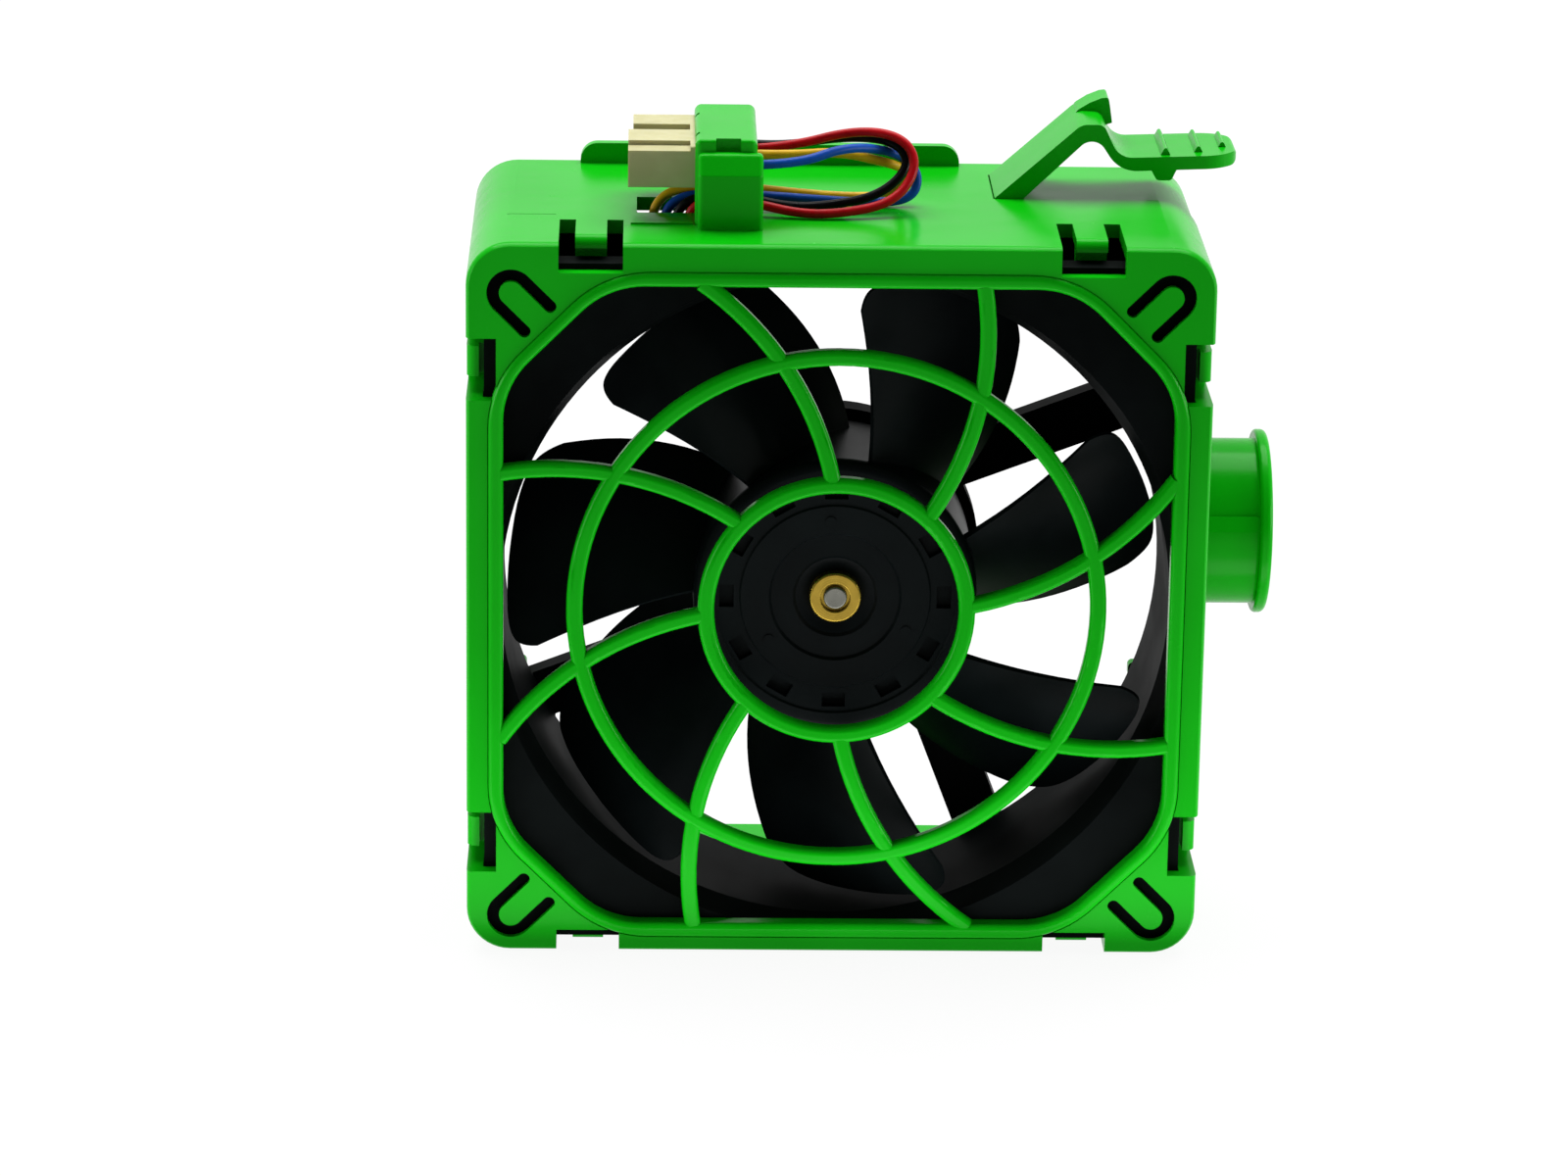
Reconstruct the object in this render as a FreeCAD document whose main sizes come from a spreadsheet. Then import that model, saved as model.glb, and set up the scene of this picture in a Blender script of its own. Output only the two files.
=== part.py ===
import FreeCAD, Part
import os, math
import Sketcher
from FreeCAD import Vector, Placement, Rotation

# Server fan module: a moulded carrier with a front grille round a 120 x 38 mm axial fan.
# Row frame: X right, Y from the grille to the rear, Z up. The origin is the middle of the base face.
# Every piece is drawn in the fan frame (axis of the fan = Y axis, front face = y 0) and is placed by
# its Placement, so the sketches can use the fan axis as their origin.

os.makedirs("parts", exist_ok=True)
doc = FreeCAD.newDocument("ServerFanModule")
sheet = doc.addObject("Spreadsheet::Sheet", "Dimensions")
DIM = {}


def dim(alias, value, note):
    row = len(DIM) + 1
    sheet.set("A%d" % row, note)
    sheet.set("B%d" % row, repr(float(value)))
    sheet.setAlias("B%d" % row, alias)
    DIM[alias] = float(value)


dim("case_width", 126.0, "carrier width")
dim("case_above", 64.0, "carrier top above fan axis")
dim("case_below", 62.0, "carrier base below fan axis")
dim("case_depth", 61.0, "carrier depth")
dim("case_corner", 7.5, "carrier outer corner radius")
dim("front_round", 2.0, "round between the walls and the front face")
dim("plate_front", 0.6, "corner plate front face behind the bead")
dim("plate_rear", 3.2, "corner plate rear face")
dim("cavity_half", 60.2, "half width of the cavity")
dim("cavity_above", 61.6, "cavity roof above fan axis")
dim("cavity_corner", 5.0, "cavity corner radius")
dim("open_half", 56.7, "half width of the grille opening")
dim("open_corner", 95.8, "x plus z on the opening corner cut")
dim("bead_width", 2.6, "width of the bead round the opening")
dim("bead_fit", 0.05, "gap round the grille frame")
dim("hub_ring_radius", 22.25, "centre line radius of the hub ring")
dim("mid_ring_radius", 44.6, "centre line radius of the middle ring")
dim("ring_width", 2.8, "width of rings and ribs")
dim("ring_depth", 3.1, "depth of rings and ribs")
dim("win_inner", 36.7, "window near edge from the axis")
dim("win_outer", 47.5, "window far edge from the axis")
dim("win_depth", 17.5, "window depth")
dim("tongue_half", 2.65, "half width of a snap tongue")
dim("tongue_front", 6.0, "front of a snap tongue")
dim("uslot_pos", 55.4, "U slot arc centre from the axis")
dim("latch_front", 35.0, "front of the latch arm")
dim("latch_width", 17.5, "depth of the latch arm")
dim("latch_wall", 2.5, "thickness of the latch arm")
dim("spool_y", 35.0, "spool centre behind the front face")
dim("spool_z", 6.4, "spool centre above the fan axis")
dim("spool_radius", 14.5, "spool drum radius")
dim("spool_rim", 16.1, "spool flange radius")
dim("spool_out", 76.0, "spool outer face from the fan axis")
dim("spool_rim_thick", 2.2, "spool flange thickness")
dim("fan_size", 120.0, "fan frame size")
dim("fan_front", 3.2, "fan front face behind the module front")
dim("fan_depth", 38.0, "fan frame depth")
dim("fan_flange", 5.0, "fan flange thickness")
dim("fan_bore", 57.3, "fan bore radius")
dim("fan_ring", 59.6, "fan tube outer radius")
dim("fan_hole", 2.15, "fan screw hole radius")
dim("fan_pitch", 52.5, "half of the fan screw pitch")
dim("base_radius", 26.0, "motor base radius")
dim("strut_width", 8.6, "strut width")
dim("strut_shift", 7.2, "strut offset from the axis")
dim("strut_front", 36.6, "strut front face")
dim("channel_front", 37.6, "lead channel floor")
dim("channel_width", 7.2, "lead channel width")
dim("hub_radius", 24.4, "impeller hub outer radius")
dim("hub_inner", 23.0, "impeller hub inner radius")
dim("hub_front", 8.7, "impeller hub face")
dim("hub_rear", 34.2, "impeller hub rear edge")
dim("blade_tip", 56.2, "blade tip radius")
dim("yoke_inner", 21.6, "rotor yoke inner radius")
dim("magnet_inner", 19.3, "magnet inner radius")
dim("shaft_radius", 2.0, "shaft radius")
dim("bush_radius", 4.45, "bush radius")
dim("tube_inner", 5.5, "bearing tube bore radius")
dim("tube_outer", 6.6, "bearing tube outer radius")
dim("stator_radius", 18.7, "stator outer radius")
dim("stator_front", 15.5, "stator core front")
dim("stator_depth", 13.0, "stator core depth")
dim("board_radius", 20.0, "circuit board radius")
dim("board_front", 36.4, "circuit board front face")
dim("conn_left", 36.0, "connector mating face left of the axis")
dim("conn_right", 16.0, "connector rear face left of the axis")
dim("conn_front", 16.0, "connector front face")
dim("conn_width", 24.2, "connector width")
dim("conn_low", 70.0, "connector underside above the axis")
dim("conn_height", 7.2, "connector height")
dim("wire_diameter", 1.6, "wire diameter")
doc.recompute()

D = DIM
# the fan frame sits in the row frame like this
HOME = Placement(Vector(0, -30.5, D["case_below"]), Rotation())
NODES = []


def plane(body, role):
    for f in body.Origin.OriginFeatures:
        if f.Role == role:
            return f
    raise RuntimeError(role)


def new_body(label):
    b = doc.addObject("PartDesign::Body", label)
    b.Label = label
    return b


def keep(obj, label):
    """Name a finished piece, put it in the row frame and list it for export."""
    obj.Label = label
    obj.Placement = HOME
    NODES.append(obj)
    return obj


def new_sketch(body, name, role="XZ_Plane", at=0.0, expr=None):
    """Sketch on an origin plane. On XZ the pad runs along +Y when reversed; 'at' is the y of the sketch."""
    s = body.newObject("Sketcher::SketchObject", name)
    s.AttachmentSupport = [(plane(body, role), "")]
    s.MapMode = "FlatFace"
    sign = -1.0 if role == "XZ_Plane" else 1.0
    s.AttachmentOffset = Placement(Vector(0, 0, sign * at), Rotation())
    if expr:
        s.setExpression("AttachmentOffset.Base.z", ("-(%s)" % expr) if sign < 0 else expr)
    return s


def _datum(s, kind, g, pos, value, expr):
    v = abs(value)
    if value >= 0:
        c = s.addConstraint(Sketcher.Constraint(kind, -1, 1, g, pos, v))
    else:
        c = s.addConstraint(Sketcher.Constraint(kind, g, pos, -1, 1, v))
    if expr:
        s.setExpression("Constraints[%d]" % c, expr)
    return c


def circle(s, cx, cy, r, rx=None, ex=None, ey=None):
    g = s.addGeometry(Part.Circle(Vector(cx, cy, 0), Vector(0, 0, 1), r), False)
    if cx == 0 and cy == 0:
        s.addConstraint(Sketcher.Constraint("Coincident", g, 3, -1, 1))
    else:
        if cx == 0:
            s.addConstraint(Sketcher.Constraint("PointOnObject", g, 3, -2))
        else:
            _datum(s, "DistanceX", g, 3, cx, ex)
        if cy == 0:
            s.addConstraint(Sketcher.Constraint("PointOnObject", g, 3, -1))
        else:
            _datum(s, "DistanceY", g, 3, cy, ey)
    c = s.addConstraint(Sketcher.Constraint("Radius", g, r))
    if rx:
        s.setExpression("Constraints[%d]" % c, rx)
    return g


def rect(s, x0, x1, y0, y1, ex=None):
    """Axis-parallel rectangle. ex maps x0, x1, y0, y1 to expressions for the distance from the origin."""
    ex = ex or {}
    p = [Vector(x0, y0, 0), Vector(x1, y0, 0), Vector(x1, y1, 0), Vector(x0, y1, 0)]
    g = [s.addGeometry(Part.LineSegment(p[i], p[(i + 1) % 4]), False) for i in range(4)]
    for i in range(4):
        s.addConstraint(Sketcher.Constraint("Coincident", g[i], 2, g[(i + 1) % 4], 1))
    for i in (0, 2):
        s.addConstraint(Sketcher.Constraint("Horizontal", g[i]))
        s.addConstraint(Sketcher.Constraint("Vertical", g[i + 1]))
    for key, kind, geo, pos, val in (("x0", "DistanceX", g[0], 1, x0), ("y0", "DistanceY", g[0], 1, y0),
                                     ("x1", "DistanceX", g[2], 1, x1), ("y1", "DistanceY", g[2], 1, y1)):
        if abs(val) < 1e-9:
            s.addConstraint(Sketcher.Constraint("PointOnObject", geo, pos, -2 if key[0] == "x" else -1))
        else:
            _datum(s, kind, geo, pos, val, ex.get(key))
    return g


def round_rect(s, x0, x1, y0, y1, r, ex=None, rx=None):
    """Rectangle with equal rounded corners, fully constrained by its four sides and one radius."""
    ex = ex or {}
    ln = [Part.LineSegment(Vector(x0 + r, y0, 0), Vector(x1 - r, y0, 0)),
          Part.LineSegment(Vector(x1, y0 + r, 0), Vector(x1, y1 - r, 0)),
          Part.LineSegment(Vector(x1 - r, y1, 0), Vector(x0 + r, y1, 0)),
          Part.LineSegment(Vector(x0, y1 - r, 0), Vector(x0, y0 + r, 0))]
    cs = [(x1 - r, y0 + r, 270), (x1 - r, y1 - r, 0), (x0 + r, y1 - r, 90), (x0 + r, y0 + r, 180)]
    g = [s.addGeometry(l, False) for l in ln]
    a = []
    for cx, cy, a0 in cs:
        a.append(s.addGeometry(Part.ArcOfCircle(Part.Circle(Vector(cx, cy, 0), Vector(0, 0, 1), r),
                                                math.radians(a0), math.radians(a0 + 90)), False))
    for i in range(4):
        s.addConstraint(Sketcher.Constraint("Tangent", g[i], 2, a[i], 1))
        s.addConstraint(Sketcher.Constraint("Tangent", a[i], 2, g[(i + 1) % 4], 1))
    s.addConstraint(Sketcher.Constraint("Horizontal", g[0]))
    s.addConstraint(Sketcher.Constraint("Horizontal", g[2]))
    s.addConstraint(Sketcher.Constraint("Vertical", g[1]))
    s.addConstraint(Sketcher.Constraint("Vertical", g[3]))
    for i in range(1, 4):
        s.addConstraint(Sketcher.Constraint("Equal", a[0], a[i]))
    c = s.addConstraint(Sketcher.Constraint("Radius", a[0], r))
    if rx:
        s.setExpression("Constraints[%d]" % c, rx)
    _datum(s, "DistanceY", g[0], 1, y0, ex.get("y0"))
    _datum(s, "DistanceX", g[1], 1, x1, ex.get("x1"))
    _datum(s, "DistanceY", g[2], 1, y1, ex.get("y1"))
    _datum(s, "DistanceX", g[3], 1, x0, ex.get("x0"))


def fillet_path(pts, radii):
    """Closed outline of straight lines with a rounded corner at each point that has a radius: (curve, start, end)."""
    n = len(pts)
    out = []
    ends = []
    for i in range(n):
        p0, p, p1 = Vector(*pts[i - 1], 0), Vector(*pts[i], 0), Vector(*pts[(i + 1) % n], 0)
        r = radii[i]
        if r <= 0:
            ends.append((p, p, None))
            continue
        u = (p0 - p).normalize()
        v = (p1 - p).normalize()
        half = u.getAngle(v) / 2
        dd = r / math.tan(half)
        a, b = p + u * dd, p + v * dd
        bis = (u + v).normalize()
        c = p + bis * (r / math.sin(half))
        aa, ab = math.atan2(a.y - c.y, a.x - c.x), math.atan2(b.y - c.y, b.x - c.x)
        if (a - c).cross(b - c).z < 0:
            aa, ab = ab, aa
        if ab < aa:
            ab += 2 * math.pi
        # always counter-clockwise, because a sketch numbers an arc's ends that way
        ends.append((a, b, Part.ArcOfCircle(Part.Circle(c, Vector(0, 0, 1), r), aa, ab)))
    for i in range(n):
        a, b, arc = ends[i]
        if arc is not None:
            out.append((arc, a, b))
        nxt = ends[(i + 1) % n][0]
        if (nxt - b).Length > 1e-6:
            out.append((Part.LineSegment(b, nxt), b, nxt))
    return out


def outline(s, pts, radii=None):
    """Draw a closed outline and join its neighbours."""
    radii = radii or [0] * len(pts)
    geo = fillet_path(pts, radii)
    ids = [s.addGeometry(g[0], False) for g in geo]
    real = [s.Geometry[i] for i in ids]

    def end_at(g, point):
        return 1 if (g.StartPoint - point).Length < (g.EndPoint - point).Length else 2

    n = len(ids)
    for i in range(n):
        j = (i + 1) % n
        s.addConstraint(Sketcher.Constraint("Coincident", ids[i], end_at(real[i], geo[i][2]), ids[j], end_at(real[j], geo[j][1])))
    for i in ids:
        s.addConstraint(Sketcher.Constraint("Block", i))
    return ids


def pad(body, s, length, expr=None, rev=True, name=None):
    f = body.newObject("PartDesign::Pad", name or s.Name + "_pad")
    f.Profile = s
    f.Length = length
    f.Reversed = rev
    if expr:
        f.setExpression("Length", expr)
    s.Visibility = False
    doc.recompute()
    return f


def pocket(body, s, length, expr=None, rev=False, name=None):
    """On XZ the default direction runs along +Y. The removed volume is checked."""
    before = body.Shape.Volume
    f = body.newObject("PartDesign::Pocket", name or s.Name + "_cut")
    f.Profile = s
    f.Length = length
    f.Reversed = rev
    if expr:
        f.setExpression("Length", expr)
    doc.recompute()
    if not body.Shape.Volume < before - 1e-4:
        raise RuntimeError("pocket %s removed nothing" % f.Name)
    return f


def revolve(body, s, name=None, axis="V_Axis"):
    f = body.newObject("PartDesign::Revolution", name or s.Name + "_rev")
    f.Profile = s
    f.ReferenceAxis = (s, [axis])
    f.Angle = 360.0
    doc.recompute()
    return f


def groove(body, s, name=None, axis="V_Axis"):
    before = body.Shape.Volume
    f = body.newObject("PartDesign::Groove", name or s.Name + "_groove")
    f.Profile = s
    f.ReferenceAxis = (s, [axis])
    f.Angle = 360.0
    doc.recompute()
    if not body.Shape.Volume < before - 1e-4:
        raise RuntimeError("groove %s removed nothing" % f.Name)
    return f


def polar(body, feats, count, name, ref="Y_Axis"):
    f = body.newObject("PartDesign::PolarPattern", name)
    f.Originals = feats
    f.Axis = (plane(body, ref), [""])
    f.Angle = 360.0
    f.Occurrences = count
    body.Tip = f
    doc.recompute()
    return f


def mirror(body, feats, role, name):
    f = body.newObject("PartDesign::Mirrored", name)
    f.Originals = feats
    f.MirrorPlane = (plane(body, role), [""])
    body.Tip = f
    doc.recompute()
    return f


def edge_fillet(body, radius, pick, name, kind="PartDesign::Fillet", expr=None):
    """Round every edge of the tip that 'pick' accepts."""
    tip = body.Tip
    names = []
    for i, e in enumerate(tip.Shape.Edges):
        if pick(e):
            names.append("Edge%d" % (i + 1))
    if not names:
        raise RuntimeError("no edges for " + name)
    f = body.newObject(kind, name)
    f.Base = (tip, names)
    if kind.endswith("Fillet"):
        f.Radius = radius
        if expr:
            f.setExpression("Radius", expr)
    else:
        f.Size = radius
        if expr:
            f.setExpression("Size", expr)
    doc.recompute()
    return f


def box_of(e):
    return e.BoundBox


def near(a, b, t=1e-3):
    return abs(a - b) < t


def ring(label, r0, r1, y0, y1, ex=None):
    """Plain ring about the fan axis as a padded body."""
    ex = ex or {}
    b = new_body(label)
    s = new_sketch(b, label + "_section", "XZ_Plane", y0, ex.get("y0"))
    circle(s, 0, 0, r1, ex.get("r1"))
    if r0 > 0:
        circle(s, 0, 0, r0, ex.get("r0"))
    pad(b, s, y1 - y0, ex.get("len"))
    return b


# ---------------------------------------------------------------- carrier housing
W = D["case_width"] / 2
UP, DN = D["case_above"], D["case_below"]
DEEP = D["case_depth"]

housing = new_body("carrier_housing")
s = new_sketch(housing, "shell_outline")
round_rect(s, -W, W, -DN, UP, D["case_corner"],
           {"x0": "Dimensions.case_width / 2", "x1": "Dimensions.case_width / 2",
            "y0": "Dimensions.case_below", "y1": "Dimensions.case_above"}, "Dimensions.case_corner")
pad(housing, s, DEEP, "Dimensions.case_depth")
edge_fillet(housing, D["front_round"], lambda e: near(e.BoundBox.YMin, 0) and near(e.BoundBox.YMax, 0),
            "front_edge_round", expr="Dimensions.front_round")

# the corner plates lie a little behind the bead
s = new_sketch(housing, "plate_face", at=-1.0)
round_rect(s, -W - 1, W + 1, -DN - 1, UP + 1, 3.0)
pocket(housing, s, 1.0 + D["plate_front"], "1 + Dimensions.plate_front")

# cavity for the fan, open to the rear
s = new_sketch(housing, "cavity", at=D["plate_rear"], expr="Dimensions.plate_rear")
round_rect(s, -D["cavity_half"], D["cavity_half"], -D["cavity_half"], D["cavity_above"], D["cavity_corner"],
           {"x0": "Dimensions.cavity_half", "x1": "Dimensions.cavity_half",
            "y0": "Dimensions.cavity_half", "y1": "Dimensions.cavity_above"}, "Dimensions.cavity_corner")
pocket(housing, s, 80.0)


def corner_cut(a, c, r):
    """Square of half width a whose corners are cut at x + z = c; returns points and radii."""
    k = c - a
    pts = [(k, -a), (a, -k), (a, k), (k, a), (-k, a), (-a, k), (-a, -k), (-k, -a)]
    return pts, [r] * 8


BO = D["open_half"] + D["bead_width"]
CO = D["open_corner"] + D["bead_width"] * 1.2
pts, rad = corner_cut(BO + D["bead_fit"], CO + D["bead_fit"] * 1.414, 19.0)
s = new_sketch(housing, "grille_seat", at=-1.0)
outline(s, pts, rad)
pocket(housing, s, 8.0)

# windows: two in each wall, open to the front
wi, wo, wd = D["win_inner"], D["win_outer"], D["win_depth"]
EXW = {"x0": "Dimensions.win_inner", "x1": "Dimensions.win_outer"}
s = new_sketch(housing, "windows_top_bottom", at=-1.0)
for sg in (-1, 1):
    a, b = (wi, wo) if sg > 0 else (-wo, -wi)
    ex = {"x0": "Dimensions.win_inner", "x1": "Dimensions.win_outer"} if sg > 0 else \
         {"x0": "Dimensions.win_outer", "x1": "Dimensions.win_inner"}
    rect(s, a, b, 58.95, 70.0, ex)
    rect(s, a, b, -70.0, -58.1, ex)
pocket(housing, s, wd + 1.0, "Dimensions.win_depth + 1")
s = new_sketch(housing, "windows_sides", at=-1.0)
for sg in (-1, 1):
    for sz in (-1, 1):
        xa, xb = (57.9, 70.0) if sg > 0 else (-70.0, -57.9)
        za, zb = (wi, wo) if sz > 0 else (-wo, -wi)
        ey = {"y0": "Dimensions.win_inner", "y1": "Dimensions.win_outer"} if sz > 0 else \
             {"y0": "Dimensions.win_outer", "y1": "Dimensions.win_inner"}
        rect(s, xa, xb, za, zb, ey)
pocket(housing, s, wd + 1.0, "Dimensions.win_depth + 1")

FINGER_Y = D["fan_front"] + D["fan_depth"] + 0.4
# snap tongues: rooted behind each window, reaching forward over the fan flange
wm = (wi + wo) / 2
th = D["tongue_half"]
TF = D["tongue_front"]
HK0, HK1 = D["fan_front"] + D["fan_flange"] + 0.25, D["fan_front"] + D["fan_flange"] + 2.4
s = new_sketch(housing, "tongues", at=TF, expr="Dimensions.tongue_front")
for sg in (-1, 1):
    rect(s, sg * wm - th, sg * wm + th, 61.9, UP - 0.0)
    rect(s, sg * wm - th, sg * wm + th, -DN, -60.35)
    rect(s, 60.9 if sg > 0 else -W, W if sg > 0 else -60.9, wm - th, wm + th)
    rect(s, 60.9 if sg > 0 else -W, W if sg > 0 else -60.9, -wm - th, -wm + th)
pad(housing, s, wd + 1.0 - TF, "Dimensions.win_depth + 1 - Dimensions.tongue_front")
# round the outer front end of each tongue so that it follows the rounded front of the walls
edge_fillet(housing, 1.6, lambda e: near(e.BoundBox.YMin, TF) and near(e.BoundBox.YMax, TF) and
            (near(e.BoundBox.ZMin, UP) or near(e.BoundBox.ZMax, -DN) or near(e.BoundBox.XMin, W) or near(e.BoundBox.XMax, -W)),
            "tongue_tip_round")
# hooks behind the fan flange
s = new_sketch(housing, "tongue_hooks", at=HK0)
for sg in (-1, 1):
    rect(s, sg * wm - th, sg * wm + th, 58.9, 62.2)
    rect(s, sg * wm - th, sg * wm + th, -60.6, -58.9)
    rect(s, 58.9 if sg > 0 else -61.2, 61.2 if sg > 0 else -58.9, wm - th, wm + th)
    rect(s, 58.9 if sg > 0 else -61.2, 61.2 if sg > 0 else -58.9, -wm - th, -wm + th)
pad(housing, s, HK1 - HK0)

# U-shaped slots leave a springy tongue in each corner plate
UP0 = D["uslot_pos"]
q = math.sqrt(0.5)
ud = Vector(-q, -q, 0)
un = Vector(-q, q, 0)
c0 = Vector(UP0, UP0, 0)
LEG = 6.25


def up(along, side):
    v = c0 + ud * along + un * side
    return v


s = new_sketch(housing, "corner_u_slot", at=-1.0)
ro, ri, rm = 4.1, 2.0, 1.05
geo = [Part.Arc(up(0, ro), up(-ro, 0), up(0, -ro)),
       Part.LineSegment(up(0, -ro), up(LEG, -ro)),
       Part.Arc(up(LEG, -ro), up(LEG + rm, -(ro + ri) / 2), up(LEG, -ri)),
       Part.LineSegment(up(LEG, -ri), up(0, -ri)),
       Part.Arc(up(0, -ri), up(-ri, 0), up(0, ri)),
       Part.LineSegment(up(0, ri), up(LEG, ri)),
       Part.Arc(up(LEG, ri), up(LEG + rm, (ro + ri) / 2), up(LEG, ro)),
       Part.LineSegment(up(LEG, ro), up(0, ro))]
for g in geo:
    s.addConstraint(Sketcher.Constraint("Block", s.addGeometry(g, False)))
cut = pocket(housing, s, 1.0 + D["plate_rear"] + 0.5)
# the plate is thinner round each slot, relieved from behind
s = new_sketch(housing, "u_slot_relief", at=1.8)
rr_ = ro + 0.9
geo = [Part.Arc(up(0, rr_), up(-rr_, 0), up(0, -rr_)),
       Part.LineSegment(up(0, -rr_), up(LEG + 1.6, -rr_)),
       Part.LineSegment(up(LEG + 1.6, -rr_), up(LEG + 1.6, rr_)),
       Part.LineSegment(up(LEG + 1.6, rr_), up(0, rr_))]
for g in geo:
    s.addConstraint(Sketcher.Constraint("Block", s.addGeometry(g, False)))
relief = pocket(housing, s, D["plate_rear"] - 1.8)
polar(housing, [cut, relief], 4, "corner_u_slots")

# cable slot in the roof, and the small features of the roof
s = new_sketch(housing, "roof_cuts", "XY_Plane", 70.0)
rect(s, -34.5, -22.6, 22.9, 34.1)
f = pocket(housing, s, 9.5)
s = new_sketch(housing, "roof_seam", "XY_Plane", 70.0)
rect(s, -56.5, -48.2, 21.05, 21.3)
pocket(housing, s, 70.0 - UP + 0.25)
# shallow step right of the latch that runs to the rear and down the side
s = new_sketch(housing, "latch_step", at=35.1)
RC = D["case_corner"]
sx, sz = 0.4, 0.4
geo = [Part.LineSegment(Vector(33, UP - sz, 0), Vector(33, UP + 2, 0)),
       Part.LineSegment(Vector(33, UP + 2, 0), Vector(W + 2, UP + 2, 0)),
       Part.LineSegment(Vector(W + 2, UP + 2, 0), Vector(W + 2, 44, 0)),
       Part.LineSegment(Vector(W + 2, 44, 0), Vector(W - sx, 44, 0)),
       Part.LineSegment(Vector(W - sx, 44, 0), Vector(W - sx, UP - RC, 0)),
       Part.Arc(Vector(W - sx, UP - RC, 0),
                Vector(W - RC + (RC - sx) * q, UP - RC + (RC - sx) * q, 0),
                Vector(W - RC, UP - sz, 0)),
       Part.LineSegment(Vector(W - RC, UP - sz, 0), Vector(33, UP - sz, 0))]
for g in geo:
    s.addConstraint(Sketcher.Constraint("Block", s.addGeometry(g, False)))
pocket(housing, s, 40.0)
# shallow socket under the foot of the latch
s = new_sketch(housing, "latch_socket", "XY_Plane", 70.0)
rect(s, 26.95, 32.35, D["latch_front"] - 0.15, D["latch_front"] + D["latch_width"] + 0.15)
pocket(housing, s, 70.0 - UP + 1.2)
# ledge strip, rear tab and connector clip
s = new_sketch(housing, "roof_ledge", "XY_Plane", UP - 0.5)
rect(s, -35.5, -25.0, 14.5, 18.7)
pad(housing, s, 0.8, rev=False)
s = new_sketch(housing, "rear_tab", at=DEEP - 2.0, expr="Dimensions.case_depth - 2")
outline(s, [(-44.5, UP - 1), (22.2, UP - 1), (22.2, UP + 3.6), (-44.5, UP + 3.6)], [0, 0, 3.0, 3.0])
pad(housing, s, 2.0)
s = new_sketch(housing, "connector_clip", "YZ_Plane", -24.2)
# profile in y and z: upright with a bevelled head
outline(s, [(10.6, UP - 1), (14.0, UP - 1), (14.0, 76.7), (12.6, 76.7), (10.6, 73.4)], [0, 0, 0, 1.0, 0.5])
pad(housing, s, 11.0, rev=False)
edge_fillet(housing, 0.9, lambda e: near(e.BoundBox.YMin, 10.6) and near(e.BoundBox.YMax, 10.6) and
            (near(e.BoundBox.XMin, -24.2) or near(e.BoundBox.XMax, -13.2)) and e.BoundBox.ZMax > 70,
            "clip_side_round")
# seat for the spool spigot in the right wall
s = new_sketch(housing, "spool_seat", "YZ_Plane", 70.0)
circle(s, D["spool_y"], D["spool_z"], 6.0, None, "Dimensions.spool_y", "Dimensions.spool_z")
pocket(housing, s, 15.0)
# two small fingers on the side walls behind the rear face of the fan
s = new_sketch(housing, "rear_fingers", at=FINGER_Y)
for sg in (-1, 1):
    outline(s, [(sg * 60.9, -28.6), (sg * 60.9, -22.2), (sg * 53.5, -22.2), (sg * 53.5, -24.6), (sg * 56.5, -28.6)],
            [0, 0, 0.9, 0.9, 1.0])
pad(housing, s, 2.2)
keep(housing, "carrier_housing")

# ---------------------------------------------------------------- front grille
grille = new_body("front_grille")
s = new_sketch(grille, "frame_outline")
pts, rad = corner_cut(BO, CO, 19.0)
outline(s, pts, rad)
pts, rad = corner_cut(D["open_half"], D["open_corner"], 15.0)
outline(s, pts, rad)
pad(grille, s, D["plate_rear"], "Dimensions.plate_rear")


def in_ring(e, lim):
    b = e.BoundBox
    return near(b.YMin, 0) and near(b.YMax, 0)


edge_fillet(grille, 1.05, lambda e: in_ring(e, 0), "bead_round")
rw, rd = D["ring_width"], D["ring_depth"]
for nm, rr, al in (("hub_ring", D["hub_ring_radius"], "hub_ring_radius"), ("mid_ring", D["mid_ring_radius"], "mid_ring_radius")):
    s = new_sketch(grille, nm, "XY_Plane")
    round_rect(s, rr - rw / 2, rr + rw / 2, 0.05, rd, 1.0,
               {"x0": "Dimensions.%s - Dimensions.ring_width / 2" % al,
                "x1": "Dimensions.%s + Dimensions.ring_width / 2" % al,
                "y1": "Dimensions.ring_depth"})
    revolve(grille, s)
# one curved rib: an arc from the hub ring through the middle ring to the bead, swept with a rounded section
ra = [(D["hub_ring_radius"] + 0.2, 2.3), (D["mid_ring_radius"], 12.7), (62.0, 22.3)]
rp = [Vector(r * math.cos(math.radians(a)), r * math.sin(math.radians(a)), 0) for r, a in ra]
path = new_sketch(grille, "rib_path", at=rd / 2, expr="Dimensions.ring_depth / 2")
path.addConstraint(Sketcher.Constraint("Block", path.addGeometry(Part.Arc(*rp), False)))
doc.recompute()
prof = grille.newObject("Sketcher::SketchObject", "rib_section")
prof.AttachmentSupport = [(path, "Edge1")]
prof.MapMode = "NormalToEdge"
prof.MapPathParameter = 0.0
doc.recompute()
pl = prof.getGlobalPlacement() if hasattr(prof, "getGlobalPlacement") else prof.Placement
lx = pl.Rotation.multVec(Vector(1, 0, 0))
deep_is_x = abs(lx.y) > 0.7
# 0.1 mm less deep than the rings so that no two faces coincide
hd, hw = rd / 2 - 0.12, rw / 2 - 0.03
if deep_is_x:
    round_rect(prof, -hd, hd, -hw, hw, 0.95)
else:
    round_rect(prof, -hw, hw, -hd, hd, 0.95)
doc.recompute()
rib = grille.newObject("PartDesign::AdditivePipe", "rib")
rib.Profile = prof
rib.Spine = (path, ["Edge1"])
doc.recompute()
polar(grille, [rib], 8, "ribs")
keep(grille, "front_grille")

# ---------------------------------------------------------------- side spool
spool = new_body("side_spool")
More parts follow.
